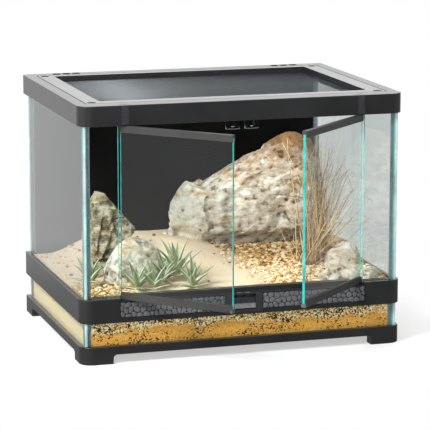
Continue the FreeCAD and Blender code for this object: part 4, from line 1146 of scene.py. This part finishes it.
def make_floor():
    """A white floor that keeps the shadow near the object and shows plain white farther off."""
    near, far = -FLOOR_REACH, FLOOR_REACH
    heap = Heap()
    heap.add([Vector(corner) for corner in ((near, near, 0), (far, near, 0), (far, far, 0), (near, far, 0))],
             [(0, 1, 2, 3)])
    floor = bpy.data.objects.new("studio_floor", heap.mesh("studio_floor", smooth=False))
    scene.collection.objects.link(floor)
    paint = Paint("studio_floor")
    paint.surface(
        Base_Color=paint.mottle(0.5, 2, "f6f6f6", "f9f9f9"),
        Roughness=paint.vary(0.1, 3, 0.85, 0.95),
        Specular_IOR_Level=0.1,
    )
    path = paint.node("LightPath").outputs
    flat = paint.node("VectorMath", paint.place, (1, 1, 0), operation="MULTIPLY").outputs["Vector"]
    distance = paint.node("VectorMath", flat, operation="LENGTH").outputs["Value"]
    heading = paint.node("VectorMath", flat, operation="NORMALIZE").outputs["Vector"]
    white = paint.combine(path["Is Camera Ray"], paint.span(distance, 0.28, 0.52, 0.5, 1.0), "MULTIPLY")
    seen = paint.choose(white, paint.shader.outputs["BSDF"], paint.glow())
    mirrored = paint.glow(surround(paint, heading), paint.span(distance, 0.6, 1.05, 0.5, 1.0))
    reflected = paint.choose(path["Is Glossy Ray"], seen, mirrored)
    veil = paint.span(paint.axis("X", heading), -0.35, 0.1, LEFT_VEIL, RIGHT_VEIL)
    behind = paint.glow(surround(paint, heading), veil)
    refracted = paint.choose(path["Is Transmission Ray"], reflected, behind)
    paint.feed(paint.output.inputs["Surface"], refracted)
    paint.material.cycles.emission_sampling = "NONE"
    floor.data.materials.append(paint.material)


def make_world():
    """White all round for the camera and through glass, with a dark front for gloss to show."""
    scene.world = bpy.data.worlds.new("studio")
    scene.world.use_nodes = True
    nodes = Nodes(scene.world.node_tree, "Generated")
    path = nodes.node("LightPath").outputs
    lit = nodes.blend(path["Is Glossy Ray"], (AMBIENT, AMBIENT, AMBIENT), surround(nodes, nodes.place))
    seen = nodes.combine(path["Is Camera Ray"], path["Is Transmission Ray"], "MAXIMUM")
    nodes.feed(nodes.tree.nodes["Background"].inputs["Color"], nodes.blend(seen, lit, (1, 1, 1)))


def soft_box(name, place, target, width, height, power):
    light = bpy.data.lights.new(name, "AREA")
    light.shape = "RECTANGLE"
    light.size = width
    light.size_y = height
    light.energy = power
    lamp = bpy.data.objects.new(name, light)
    scene.collection.objects.link(lamp)
    lamp.location = place
    lamp.rotation_euler = (Vector(target) - Vector(place)).to_track_quat("-Z", "Y").to_euler()
    lamp.visible_camera = False
    lamp.visible_transmission = False


# The camera, fitted to the photo's edges: sizes and place in millimetres, and how far it looks down and to
# the right in degrees
FOCAL_LENGTH = 197.548
SENSOR_WIDTH = 36.0
CAMERA_PLACE = (-1249.53, -4137.90, 1047.89)
CAMERA_DOWN = 10.9342
CAMERA_RIGHT = 16.9701


def make_camera():
    lens = bpy.data.cameras.new("photo_camera")
    lens.lens = FOCAL_LENGTH
    lens.sensor_width = SENSOR_WIDTH
    camera = bpy.data.objects.new("photo_camera", lens)
    scene.collection.objects.link(camera)
    camera.location = at(*CAMERA_PLACE)
    camera.rotation_euler = (math.radians(90 - CAMERA_DOWN), 0, math.radians(-CAMERA_RIGHT))
    scene.camera = camera


make_floor()
make_world()
soft_box("key", (-2.5, -1.7, 2.5), (0, 0.1, 0.2), 0.9, 0.9, 200)
soft_box("back", (0.4, 3.0, 1.5), (0, 0.1, 0.4), 3.2, 1.4, 16)
soft_box("top", (0.2, 0.2, 2.6), (0, 0.1, 0), 2.0, 2.0, 24)
soft_box("front", (-1.0, -3.2, 1.3), (0, 0, 0.2), 1.8, 1.2, 33)
make_camera()
scene.view_settings.view_transform = "Standard"
